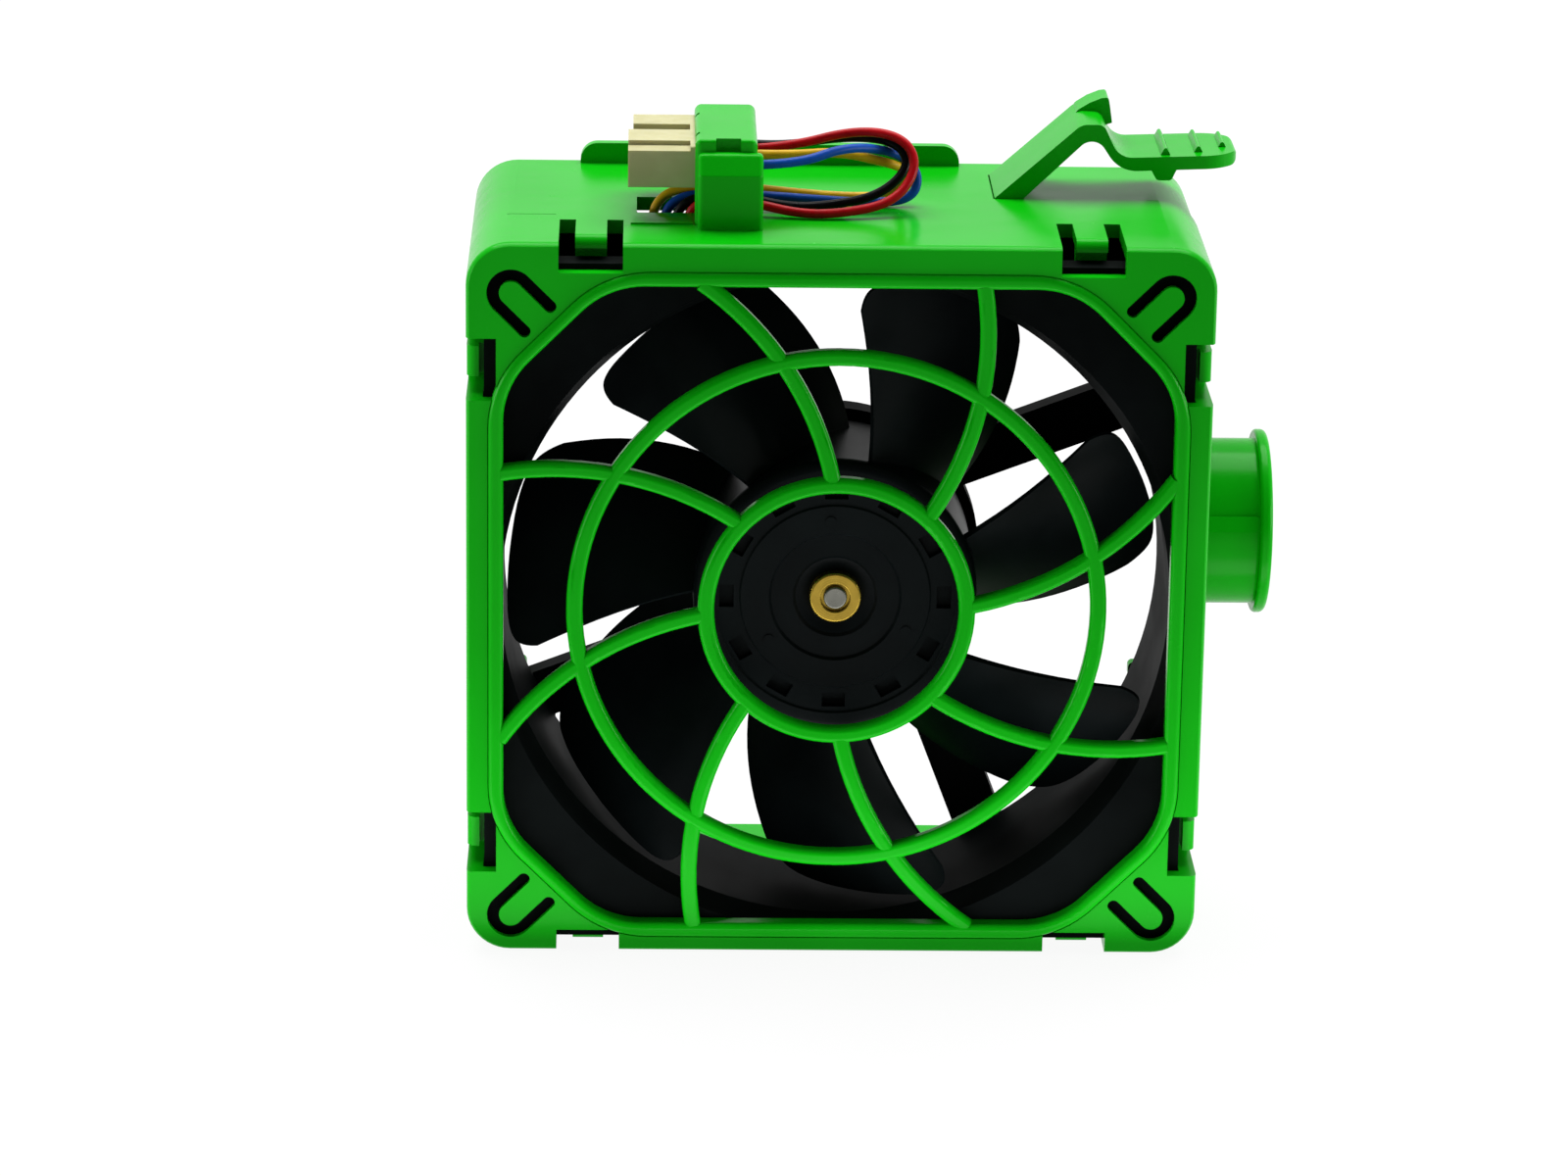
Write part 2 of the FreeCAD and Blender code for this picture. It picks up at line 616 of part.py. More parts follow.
# built along X round the spool centre: spigot, drum and outer flange
sr, sm = D["spool_radius"], D["spool_rim"]
so, st = D["spool_out"], D["spool_rim_thick"]
s = new_sketch(spool, "spigot_circle", "YZ_Plane", 60.3)
circle(s, 0, 0, 6.0)
pad(spool, s, W - 60.3, rev=False)
s = new_sketch(spool, "drum_circle", "YZ_Plane", W, "Dimensions.case_width / 2")
circle(s, 0, 0, sr, "Dimensions.spool_radius")
pad(spool, s, so - W, "Dimensions.spool_out - Dimensions.case_width / 2", rev=False)
s = new_sketch(spool, "flange_circle", "YZ_Plane", so - st, "Dimensions.spool_out - Dimensions.spool_rim_thick")
circle(s, 0, 0, sm, "Dimensions.spool_rim")
pad(spool, s, st, "Dimensions.spool_rim_thick", rev=False)
edge_fillet(spool, 1.0, lambda e: near(e.BoundBox.XMin, so, 0.01) and near(e.BoundBox.XMax, so, 0.01) and e.BoundBox.YLength > 30,
            "flange_outer_round")
edge_fillet(spool, 0.6, lambda e: near(e.BoundBox.XMin, so - st, 0.01) and near(e.BoundBox.XMax, so - st, 0.01) and e.BoundBox.YLength > 2 * sm - 0.1,
            "flange_inner_round")
edge_fillet(spool, 0.4, lambda e: near(e.BoundBox.XMin, so - st, 0.01) and near(e.BoundBox.XMax, so - st, 0.01) and
            abs(e.BoundBox.YLength - 2 * sr) < 0.1, "drum_root_round")
# hollow from the inner end
s = new_sketch(spool, "spool_hollow", "YZ_Plane", 60.0)
circle(s, 0, 0, 4.2)
pocket(spool, s, 13.0, rev=True)
# narrow raised strip along the drum
s = new_sketch(spool, "spool_strip", "YZ_Plane", W)
a0 = math.radians(166)
m = Vector(math.cos(a0), math.sin(a0), 0)
nn = Vector(-m.y, m.x, 0)
p = [m * 14.0 + nn * 1.35, m * 14.82 + nn * 1.35, m * 14.82 - nn * 1.35, m * 14.0 - nn * 1.35]
outline(s, [(v.x, v.y) for v in p])
pad(spool, s, so - st - W + 0.5, rev=False)
keep(spool, "side_spool")
spool.Placement = HOME.multiply(Placement(Vector(0, D["spool_y"], D["spool_z"]), Rotation()))

# ---------------------------------------------------------------- release latch
latch = new_body("release_latch")
s = new_sketch(latch, "latch_profile", at=D["latch_front"], expr="Dimensions.latch_front")
lp = [(27.2, UP - 1.1), (32.2, UP - 1.1), (32.2, UP + 0.1), (44.15, 75.66), (48.6, 69.0), (69.2, 69.8), (69.2, 72.1), (48.5, 71.4), (45.73, 77.2), (41.87, 77.2)]
outline(s, lp + [(27.2, UP + 0.1)], [0, 0, 0, 2.6, 5.6, 1.1, 0.9, 3.6, 1.7, 2.8, 0])
pad(latch, s, D["latch_width"], "Dimensions.latch_width")
# finger end rounded in plan
s = new_sketch(latch, "finger_end_round", "XY_Plane", 76.0)
ly0, ly1, fr_, fx = D["latch_front"], D["latch_front"] + D["latch_width"], 6.0, 69.2
for ya, yb, sgy in ((ly0, ly0 + fr_, 1), (ly1, ly1 - fr_, -1)):
    geo = [Part.LineSegment(Vector(fx - fr_, ya - sgy, 0), Vector(fx + 1, ya - sgy, 0)),
           Part.LineSegment(Vector(fx + 1, ya - sgy, 0), Vector(fx + 1, yb, 0)),
           Part.LineSegment(Vector(fx + 1, yb, 0), Vector(fx, yb, 0)),
           Part.Arc(Vector(fx, yb, 0), Vector(fx - fr_ + fr_ * q, yb - sgy * fr_ * q, 0), Vector(fx - fr_, ya, 0)),
           Part.LineSegment(Vector(fx - fr_, ya, 0), Vector(fx - fr_, ya - sgy, 0))]
    for g in geo:
        s.addConstraint(Sketcher.Constraint("Block", s.addGeometry(g, False)))
pocket(latch, s, 12.0)
s = new_sketch(latch, "catch_hook", at=D["latch_front"] + 10.9, expr="Dimensions.latch_front + 10.9")
outline(s, [(40.6, 75.3), (46.4, 74.6), (47.95, 75.1), (47.5, 78.1), (47.2, 79.6), (46.0, 79.45), (43.9, 78.6), (41.85, 77.3)], [0, 0, 0, 0, 0.5, 0.6, 1.5, 1.5])
pad(latch, s, 6.6)
for i, (rx_, y0_, y1_) in enumerate(((56.6, 36.4, 51.2), (62.4, 38.0, 51.0), (66.8, 41.4, 49.8))):
    s = new_sketch(latch, "ridge_%d" % i, at=y0_)
    outline(s, [(rx_ - 1.0, 71.4), (rx_ + 1.0, 71.4), (rx_, 73.3)], [0, 0, 0.35])
    pad(latch, s, y1_ - y0_)
s = new_sketch(latch, "stop_bump", at=D["latch_front"])
outline(s, [(53.9, 69.6), (55.1, 67.5), (57.6, 67.5), (58.6, 69.7)], [0, 0.8, 0.8, 0])
pad(latch, s, D["latch_width"], "Dimensions.latch_width")
keep(latch, "release_latch")

# ---------------------------------------------------------------- connector holder
holder = new_body("connector_holder")
HX0, HX1, HY0, HY1, HZ = -24.7, -14.2, 14.0, 41.8, 78.8
s = new_sketch(holder, "holder_side", "YZ_Plane", HX0)
cf, cw = D["conn_front"], D["conn_width"]
outline(s, [(HY0, UP), (HY0 + 1.8, UP), (HY0 + 1.8, 69.0), (17.2, 69.0), (17.2, 69.95), (cf - 0.05, 69.95), (cf - 0.05, 77.3),
            (cf + cw + 0.05, 77.3), (cf + cw + 0.05, 69.95), (39.2, 69.95), (39.2, 69.0), (HY1 - 1.4, 69.0), (HY1 - 1.4, UP),
            (HY1, UP), (HY1, HZ), (HY0, HZ)],
        [0] * 14 + [0.6, 0.5])
pad(holder, s, HX1 - HX0, rev=False)
edge_fillet(holder, 1.2, lambda e: near(e.BoundBox.ZMin, HZ) and near(e.BoundBox.ZMax, HZ) and e.BoundBox.YLength > 20, "holder_top_round")
s = new_sketch(holder, "clip_window", at=HY0 - 1.0)
rect(s, -21.2, -17.0, 76.3, 80.0)
pocket(holder, s, 2.3)
s = new_sketch(holder, "edge_notches", "XY_Plane", 80.0)
rect(s, -26.0, -23.9, 19.2, 20.4)
rect(s, -26.0, -23.9, 33.8, 35.0)
pocket(holder, s, 2.0)
keep(holder, "connector_holder")

# ---------------------------------------------------------------- connector housing and terminals
conn = new_body("connector_housing")
cl, cr = -D["conn_left"], -D["conn_right"]
cz, ch = D["conn_low"], D["conn_height"]
s = new_sketch(conn, "connector_block", "YZ_Plane", cl, "-Dimensions.conn_left")
rect(s, cf, cf + cw, cz, cz + ch, {"x0": "Dimensions.conn_front", "x1": "Dimensions.conn_front + Dimensions.conn_width",
                                   "y0": "Dimensions.conn_low", "y1": "Dimensions.conn_low + Dimensions.conn_height"})
pad(conn, s, cr - cl, "Dimensions.conn_left - Dimensions.conn_right", rev=False)
edge_fillet(conn, 0.35, lambda e: e.BoundBox.XLength > 10, "connector_edges")
# rear half of the block is a little shorter, and a groove parts the two halves on top
s = new_sketch(conn, "short_half", "YZ_Plane", cl - 1.0)
rect(s, 29.2, 45.0, 65.0, 80.0)
pocket(conn, s, 1.8, rev=True)
s = new_sketch(conn, "top_groove", "XY_Plane", 80.0)
rect(s, -40.0, -25.5, 28.6, 32.7)
pocket(conn, s, 80.0 - (cz + ch) + 1.0)
s = new_sketch(conn, "front_step", "XY_Plane", 80.0)
rect(s, -40.0, -25.5, 10.0, 20.3)
pocket(conn, s, 80.0 - (cz + ch) + 0.8)
PINS = [18.1 + 4.0 * k for k in range(6)]
PZ = cz + ch / 2
s = new_sketch(conn, "contact_cavities", "YZ_Plane", cl - 1.0)
for py in PINS:
    rect(s, py - 1.05, py + 1.05, PZ - 1.05, PZ + 1.05)
pocket(conn, s, 25.0, rev=True)
# polarising keys under the block
s = new_sketch(conn, "polarising_slots", "YZ_Plane", cl - 1.0)
rect(s, 21.3, 22.5, cz - 1.0, cz + 1.1)
rect(s, 33.7, 34.9, cz - 1.0, cz + 1.1)
pocket(conn, s, 9.0, rev=True)
keep(conn, "connector_housing")

term = new_body("connector_terminals")
if hasattr(term, "AllowCompound"):
    term.AllowCompound = True
WIRES = {"wire_blue": 0, "wire_yellow": 2, "wire_red": 3, "wire_black": 4}
first = True
for i in sorted(WIRES.values()):
    s = new_sketch(term, "contact_%d" % i, "YZ_Plane", -34.0)
    rect(s, PINS[i] - 0.75, PINS[i] + 0.75, PZ - 0.75, PZ + 0.75)
    if first:
        pad(term, s, 34.0 + cr, rev=False)
        first = False
    else:
        pad(term, s, 34.0 + cr, rev=False)
keep(term, "connector_terminals")

# ---------------------------------------------------------------- fan frame
FF, FD, FL = D["fan_front"], D["fan_depth"], D["fan_flange"]
FR = FF + FD
FH = D["fan_size"] / 2
frame = new_body("fan_frame")
exf = {"x0": "Dimensions.fan_size / 2", "x1": "Dimensions.fan_size / 2", "y0": "Dimensions.fan_size / 2", "y1": "Dimensions.fan_size / 2"}
s = new_sketch(frame, "front_flange", at=FF, expr="Dimensions.fan_front")
round_rect(s, -FH, FH, -FH, FH, 4.5, exf)
pad(frame, s, FL, "Dimensions.fan_flange")
s = new_sketch(frame, "fan_tube", at=FF, expr="Dimensions.fan_front")
circle(s, 0, 0, D["fan_ring"], "Dimensions.fan_ring")
pad(frame, s, FD, "Dimensions.fan_depth")
s = new_sketch(frame, "rear_flange", at=FR - FL, expr="Dimensions.fan_front + Dimensions.fan_depth - Dimensions.fan_flange")
round_rect(s, -FH, FH, -FH, FH, 4.5, exf)
pad(frame, s, FL, "Dimensions.fan_flange")
# bore with a flared inlet and outlet
s = new_sketch(frame, "bore_profile", "XY_Plane")
br = D["fan_bore"]
outline(s, [(0, FF - 1), (br + 1.9, FF - 1), (br + 1.9, FF), (br, FF + 5.0), (br, FR - 4.0), (br + 1.2, FR), (br + 1.2, FR + 1), (0, FR + 1)])
groove(frame, s)
# screw holes
s = new_sketch(frame, "screw_holes", at=FF - 1)
fp = D["fan_pitch"]
for sx_ in (-1, 1):
    for sz_ in (-1, 1):
        circle(s, sx_ * fp, sz_ * fp, D["fan_hole"], "Dimensions.fan_hole", "Dimensions.fan_pitch", "Dimensions.fan_pitch")
pocket(frame, s, FD + 2)
# motor base with a seat for the circuit board
br0 = D["base_radius"]
s = new_sketch(frame, "motor_base", at=FR - FL + 0.1)
circle(s, 0, 0, br0, "Dimensions.base_radius")
pad(frame, s, FL - 0.1)
# four straight struts beside the radial lines
sa = math.radians(21.0)
s = new_sketch(frame, "strut", at=D["strut_front"], expr="Dimensions.strut_front")
dv = Vector(math.cos(sa), math.sin(sa), 0)
nv = Vector(-dv.y, dv.x, 0)


def sp(along, side, a=sa):
    d_ = Vector(math.cos(a), math.sin(a), 0)
    n_ = Vector(-d_.y, d_.x, 0)
    v = d_ * along + n_ * side
    return (v.x, v.y)


h2 = D["strut_width"] / 2
sh = D["strut_shift"]
outline(s, [sp(15, sh - h2), sp(60.3, sh - h2), sp(60.3, sh + h2), sp(15, sh + h2)])
strut = pad(frame, s, FR - D["strut_front"])
polar(frame, [strut], 4, "struts")
s = new_sketch(frame, "board_seat", at=FR - FL - 0.5)
circle(s, 0, 0, 22.3)
pocket(frame, s, D["channel_front"] - (FR - FL - 0.5))
s = new_sketch(frame, "tube_seat", at=FR - FL - 2)
circle(s, 0, 0, D["tube_outer"], "Dimensions.tube_outer")
pocket(frame, s, 39.9 - (FR - FL - 2))
# lead channel along the strut at the upper left, open to the rear, through the tube wall and the rear flange
LA = math.radians(111.0)
c2 = D["channel_width"] / 2
s = new_sketch(frame, "lead_channel", at=D["channel_front"], expr="Dimensions.channel_front")
outline(s, [sp(13.5, sh - c2, LA), sp(70, sh - c2, LA), sp(70, sh + c2, LA), sp(13.5, sh + c2, LA)], [1.0, 0, 0, 1.0])
pocket(frame, s, 8.0)
s = new_sketch(frame, "wall_notch", at=34.8)
outline(s, [sp(55.4, sh - c2, LA), sp(70, sh - c2, LA), sp(70, sh + c2, LA), sp(55.4, sh + c2, LA)])
pocket(frame, s, 10.0)
s = new_sketch(frame, "flange_notch", at=FR - FL - 1)
rect(s, -33.4, -24.4, 53.2, 61)
pocket(frame, s, 8.0)
# the outlet widens towards the four corners: a cone limited by flats beside the walls
frame.Label = "fan_frame_moulding"
cone = doc.addObject("Part::Cone", "outlet_cone")
cone.Radius1, cone.Radius2, cone.Height = D["fan_bore"], D["fan_bore"] + 4.45, 6.5
cone.Placement = Placement(Vector(0, FR - 6.0, 0), Rotation(Vector(1, 0, 0), -90))
flats = doc.addObject("Part::Box", "outlet_flats")
flats.Length, flats.Width, flats.Height = 116.8, 12.0, 116.8
flats.Placement = Placement(Vector(-58.4, FR - 8.0, -58.4), Rotation())
wide = doc.addObject("Part::Common", "outlet_wide")
wide.Base, wide.Tool = cone, flats
core_ = doc.addObject("Part::Cylinder", "outlet_core")
core_.Radius, core_.Height = D["fan_bore"] - 0.1, 12.0
core_.Placement = Placement(Vector(0, FR - 8.0, 0), Rotation(Vector(1, 0, 0), -90))
spare = [core_]
for k in range(4):
    # the struts and one web in each corner reach the flared wall
    for nm_, ang, side_, wd_ in (("outlet_strut", 21.0, sh, D["strut_width"]), ("outlet_web", 43.5, 0.0, 2.2)):
        b = doc.addObject("Part::Box", "%s_%d" % (nm_, k + 1))
        b.Length, b.Width, b.Height = 30.0, 14.0, wd_
        turn_ = Rotation(Vector(0, 1, 0), -(ang + 90.0 * k))
        b.Placement = Placement(turn_.multVec(Vector(40.0, FR - 9.0, side_ - wd_ / 2)), turn_)
        spare.append(b)
kept = doc.addObject("Part::MultiFuse", "outlet_kept")
kept.Shapes = spare
kept.Refine = False
flare = doc.addObject("Part::Cut", "outlet_flare")
flare.Base, flare.Tool = wide, kept
fan_frame = doc.addObject("Part::Cut", "fan_frame")
fan_frame.Base, fan_frame.Tool = frame, flare
fan_frame.Refine = False
doc.recompute()
keep(fan_frame, "fan_frame")

# ---------------------------------------------------------------- rotor: hub, blades, yoke, magnet, bush, shaft
hub = new_body("impeller_hub")
s = new_sketch(hub, "hub_section", "XY_Plane")
hr, hi_, hf, hb = D["hub_radius"], D["hub_inner"], D["hub_front"], D["hub_rear"]
outline(s, [(D["bush_radius"], hf + 1.6), (6.8, hf + 1.0), (7.3, hf + 0.6), (11.0, hf + 0.6), (11.4, hf), (16.2, hf), (16.5, hf + 0.35), (20.7, hf + 0.35),
            (21.0, hf), (hr, hf), (hr, hb), (hi_, hb), (hi_, hf + 3.4), (hi_ - 0.8, hf + 2.6), (D["bush_radius"], hf + 2.6)],
        [0] * 9 + [1.8] + [0] * 5)
revolve(hub, s)
# twelve balance pockets near the rim and three small pins
s = new_sketch(hub, "balance_pocket", at=hf - 0.5)
rect(s, -2.0, 2.0, 17.4, 19.9)
f = pocket(hub, s, 2.2)
bp = polar(hub, [f], 12, "balance_pockets")
s = new_sketch(hub, "hub_pins", at=hf + 0.15)
for a in (94, -26, -146):
    circle(s, 13.6 * math.cos(math.radians(a)), 13.6 * math.sin(math.radians(a)), 0.85)
# small marks stand a little above the face
s.AttachmentOffset = Placement(Vector(0, 0, -(hf - 0.25)), Rotation())
pad(hub, s, 0.6)
hub.Label = "impeller_hub"

# blade: a twisted sheet between the hub and the tip, leading edge at the front
R0, R1 = hi_ + 0.6, D["blade_tip"]
LEAD = [(23, 76.0), (27, 77.7), (32, 79.6), (38, 81.8), (44, 83.8), (50, 85.7), (57, 87.6)]
TRAIL = [(23, 32.4), (27, 35.0), (32, 38.4), (38, 42.6), (44, 46.9), (50, 51.2), (57, 56.2)]
LEAD_Y = [(23, 11.1), (27, 10.5), (32, 9.6), (38, 8.4), (44, 7.1), (50, 5.9), (57, 4.7)]
TRAIL_Y = [(23, 30.2), (27, 30.05), (32, 29.8), (38, 29.3), (44, 28.6), (50, 27.6), (57, 26.3)]


def lerp(tab, x):
    for (a, fa), (b, fb) in zip(tab, tab[1:]):
        if x <= b:
            return fa + (fb - fa) * (x - a) / (b - a)
    return tab[-1][1]


def blade_point(u, v):
    """u runs from the hub to the tip, v from the leading to the trailing edge."""
    tip = R1 - 4.6 * abs(2 * v - 1) ** 9
    r = R0 + (tip - R0) * u
    th_ = math.radians(lerp(LEAD, r) + (lerp(TRAIL, r) - lerp(LEAD, r)) * v)
    f0, f1 = lerp(LEAD_Y, r), lerp(TRAIL_Y, r)
    y = f0 + (f1 - f0) * (0.80 * v + 0.20 * v * v)
    return Vector(r * math.cos(th_), y, r * math.sin(th_))


def blade_normal(u, v):
    e = 0.01
    a = blade_point(min(u + e, 1), v) - blade_point(max(u - e, 0), v)
    b = blade_point(u, min(v + e, 1)) - blade_point(u, max(v - e, 0))
    return a.cross(b).normalize()


def blade_solid():
    """Two smooth faces through a grid of points, closed by ruled faces along the four edges."""
    nu, nv_ = 8, 9
    grids = []
    for sgn in (-1, 1):
        rows = []
        for i in range(nu):
            u = i / (nu - 1)
            row = []
            for j in range(nv_):
                v = j / (nv_ - 1)
                thick = (1.9 - 0.8 * u) * (0.42 + 0.58 * math.sin(math.pi * (0.08 + 0.84 * v)))
                row.append(blade_point(u, v) + blade_normal(u, v) * (sgn * thick / 2))
            rows.append(row)
        grids.append(rows)
    surf = []
    for rows in grids:
        b = Part.BSplineSurface()
        b.interpolate(rows)
        surf.append(b)
    faces = [b.toShape() for b in surf]
    a, b = surf
    sides = []
    for get in (lambda q_: q_.uIso(q_.bounds()[0]), lambda q_: q_.uIso(q_.bounds()[1]),
                lambda q_: q_.vIso(q_.bounds()[2]), lambda q_: q_.vIso(q_.bounds()[3])):
        sides.append(Part.makeRuledSurface(get(a).toShape(), get(b).toShape()))
    shell = Part.Compound(faces + sides)
    shell.sewShape(0.001)
    sol = Part.Solid(shell if shell.ShapeType == "Shell" else shell.Shells[0])
    if sol.Volume < 0:
        sol.reverse()
    return sol


one = blade_solid()
print("blade valid", one.isValid(), "volume", round(one.Volume, 1))
parts_ = [hub]
for k in range(7):
    b = doc.addObject("Part::Feature", "blade_%d" % (k + 1))
    b.Shape = one.rotated(Vector(0, 0, 0), Vector(0, -1, 0), 360.0 / 7 * k)
    parts_.append(b)
imp = doc.addObject("Part::MultiFuse", "impeller")
imp.Shapes = parts_
imp.Refine = False
doc.recompute()
keep(imp, "impeller")

yoke = new_body("rotor_yoke")
s = new_sketch(yoke, "yoke_section", "XY_Plane")
yi = D["yoke_inner"]
outline(s, [(6.0, hf + 2.6), (hi_ - 0.8, hf + 2.6), (hi_, hf + 3.4), (hi_, hb - 0.6), (yi, hb - 0.6), (yi, hf + 3.8), (6.0, hf + 3.8)])
revolve(yoke, s)
keep(yoke, "rotor_yoke")

mag = ring("magnet_ring", D["magnet_inner"], yi, 14.4, 31.0, {"r0": "Dimensions.magnet_inner", "r1": "Dimensions.yoke_inner"})
keep(mag, "magnet_ring")

bush = new_body("hub_bush")
s = new_sketch(bush, "bush_section", "XY_Plane")
bsr, shr = D["bush_radius"], D["shaft_radius"]
outline(s, [(shr + 0.55, hf - 0.5), (bsr, hf - 0.5), (bsr, hf + 3.8), (5.9, hf + 3.8), (5.9, hf + 4.6), (shr, hf + 4.6), (shr, hf + 0.5), (shr + 0.55, hf + 0.5)],
        [0.15, 0.45, 0, 0, 0, 0, 0, 0])
revolve(bush, s)
keep(bush, "hub_bush")

shaft = new_body("rotor_shaft")
s = new_sketch(shaft, "shaft_section", "XY_Plane")
outline(s, [(0, hf - 0.6), (shr, hf - 0.6), (shr, 38.0), (1.6, 38.0), (1.6, 38.5), (shr, 38.5), (shr, 39.3), (0, 39.3)],
        [0, 0.35, 0, 0, 0, 0, 0.3, 0])
revolve(shaft, s)
keep(shaft, "rotor_shaft")

# ---------------------------------------------------------------- bearings in the brass tube
ti, to = D["tube_inner"], D["tube_outer"]
tube = new_body("bearing_tube")
s = new_sketch(tube, "tube_section", "XY_Plane")
outline(s, [(ti, 15.0), (to, 15.0), (to, 39.9), (0.0, 39.9), (0.0, 39.5), (ti, 39.5), (ti, 33.0), (5.0, 33.0), (5.0, 20.0), (ti, 20.0)])
revolve(tube, s)
keep(tube, "bearing_tube")
for nm, y0 in (("front", 16.0), ("rear", 33.0)):
    outer = new_body("%s_bearing_outer" % nm)
    s = new_sketch(outer, nm + "_outer_section", "XY_Plane")
    outline(s, [(4.55, y0), (ti, y0), (ti, y0 + 4), (4.55, y0 + 4), (4.55, y0 + 3.0), (4.75, y0 + 2.0), (4.55, y0 + 1.0)])
    revolve(outer, s)
    keep(outer, "%s_bearing_outer" % nm)
    inner = new_body("%s_bearing_inner" % nm)
    s = new_sketch(inner, nm + "_inner_section", "XY_Plane")
    outline(s, [(shr, y0), (3.0, y0), (3.0, y0 + 1.0), (2.8, y0 + 2.0), (3.0, y0 + 3.0), (3.0, y0 + 4), (shr, y0 + 4)])
    revolve(inner, s)
    keep(inner, "%s_bearing_inner" % nm)
    balls = doc.addObject("Part::Feature", "%s_bearing_balls" % nm)
    balls.Shape = Part.Compound([Part.makeSphere(0.9, Vector(3.775 * math.cos(a), y0 + 2.0, 3.775 * math.sin(a)))
                                 for a in [2 * math.pi * k / 7 for k in range(7)]])
    keep(balls, "%s_bearing_balls" % nm)

# preload spring between the bush and the inner race of the front bearing: a stack of two conical washers
spring = new_body("preload_spring")
s = new_sketch(spring, "spring_section", "XY_Plane")
y0, y1 = hf + 4.65, 15.95
ym = (y0 + y1) / 2
outline(s, [(2.15, y0), (2.55, y0), (3.6, ym - 0.25), (3.6, ym + 0.25), (2.55, y1), (2.15, y1), (3.2, ym)])
revolve(spring, s)
keep(spring, "preload_spring")

clipr = new_body("retaining_ring")
s = new_sketch(clipr, "e_ring", at=38.05)
circle(s, 0, 0, 3.4)
circle(s, 0, 0, 1.62)
pad(clipr, s, 0.4)
s = new_sketch(clipr, "e_ring_gap", at=37.5)
rect(s, -1.1, 1.1, -4.0, 0.0)
pocket(clipr, s, 2.0)
keep(clipr, "retaining_ring")

# ---------------------------------------------------------------- stator
SF, SL, SR = D["stator_front"], D["stator_depth"], D["stator_radius"]


def stator_outline(s, r_out, neck, shoe, r_in, root):
    """Four T-shaped poles round a ring."""
    pts_o = []
    half = math.radians(shoe)
    geo_ = []
    for k in range(4):
        a = math.pi / 2 * k + math.pi / 4
        c_, s_ = math.cos(a), math.sin(a)

        def at(al, sd):
            return Vector(al * c_ - sd * s_, al * s_ + sd * c_, 0)
        lo = a - half
        hi = a + half
        pl_, ph_ = Vector(r_out * math.cos(lo), r_out * math.sin(lo), 0), Vector(r_out * math.cos(hi), r_out * math.sin(hi), 0)
        rs = r_out - 2.2
        ql, qh = Vector(rs * math.cos(lo), rs * math.sin(lo), 0), Vector(rs * math.cos(hi), rs * math.sin(hi), 0)
        tl = at(math.sqrt((rs - 0.8) ** 2 - neck ** 2), -neck)
        th__ = at(math.sqrt((rs - 0.8) ** 2 - neck ** 2), neck)
        bl, bh = at(math.sqrt(root ** 2 - neck ** 2), -neck), at(math.sqrt(root ** 2 - neck ** 2), neck)
        geo_ += [Part.LineSegment(bl, tl), Part.LineSegment(tl, ql), Part.LineSegment(ql, pl_),
                 Part.Arc(pl_, Vector(r_out * c_, r_out * s_, 0), ph_),
                 Part.LineSegment(ph_, qh), Part.LineSegment(qh, th__), Part.LineSegment(th__, bh)]
        a2 = a + math.pi / 4
        nx = a + math.pi / 2
        c3, s3 = math.cos(nx), math.sin(nx)
        al3 = math.sqrt(root ** 2 - neck ** 2)
        nb = Vector(al3 * c3 + neck * s3, al3 * s3 - neck * c3, 0)
        geo_.append(Part.Arc(bh, Vector(root * math.cos(a2), root * math.sin(a2), 0), nb))
    for g_ in geo_:
        s.addConstraint(Sketcher.Constraint("Block", s.addGeometry(g_, False)))
    if r_in > 0:
        circle(s, 0, 0, r_in)


core = new_body("stator_core")
s = new_sketch(core, "lamination", at=SF, expr="Dimensions.stator_front")
stator_outline(s, SR, 2.6, 38.0, to, 9.6)
pad(core, s, SL, "Dimensions.stator_depth")
keep(core, "stator_core")
for nm, ya in (("insulator_front", SF - 0.8), ("insulator_rear", SF + SL)):
    ins = new_body(nm)
    s = new_sketch(ins, nm + "_face", at=ya)
    stator_outline(s, SR - 0.6, 3.0, 36.0, to, 10.2)
    pad(ins, s, 0.8)
    keep(ins, nm)

coils = new_body("stator_coils")
if hasattr(coils, "AllowCompound"):
    coils.AllowCompound = True
# one winding round a pole neck, then four of them
s = new_sketch(coils, "winding", "XZ_Plane", SF - 2.6)
aq = math.radians(45)


def cpt(al, sd, a=aq):
    return (al * math.cos(a) - sd * math.sin(a), al * math.sin(a) + sd * math.cos(a))


outline(s, [cpt(10.6, -5.6), cpt(13.75, -5.6), cpt(13.75, 5.6), cpt(10.6, 5.6)], [0.8] * 4)
wf = pad(coils, s, SL + 5.2)
s = new_sketch(coils, "winding_core", "XZ_Plane", SF - 0.9)
outline(s, [cpt(9.0, -3.1), cpt(16.5, -3.1), cpt(16.5, 3.1), cpt(9.0, 3.1)])
cf2 = pocket(coils, s, SL + 1.8)
polar(coils, [wf, cf2], 4, "windings")
keep(coils, "stator_coils")

# ---------------------------------------------------------------- circuit board and its parts
board = new_body("circuit_board")
BF = D["board_front"]
s = new_sketch(board, "board_outline", at=BF, expr="Dimensions.board_front")
circle(s, 0, 0, D["board_radius"], "Dimensions.board_radius")
circle(s, 0, 0, to + 0.2)
pad(board, s, D["channel_front"] - BF)
keep(board, "circuit_board")


def chip(label, x0, x1, z0, z1, h_):
    b = new_body(label)
    s_ = new_sketch(b, label + "_body", at=BF - h_)
    rect(s_, x0, x1, z0, z1)
    pad(b, s_, h_)
    keep(b, label)
    return b


chip("driver_chip", 9.4, 15.4, -3.2, 3.2, 1.5)
chip("hall_sensor", -2.0, 2.0, 15.2, 18.2, 1.2)
cap = new_body("filter_capacitor")
s = new_sketch(cap, "capacitor_can", at=BF - 2.6)
circle(s, -12.6, -8.4, 2.5)
pad(cap, s, 2.6)
keep(cap, "filter_capacitor")

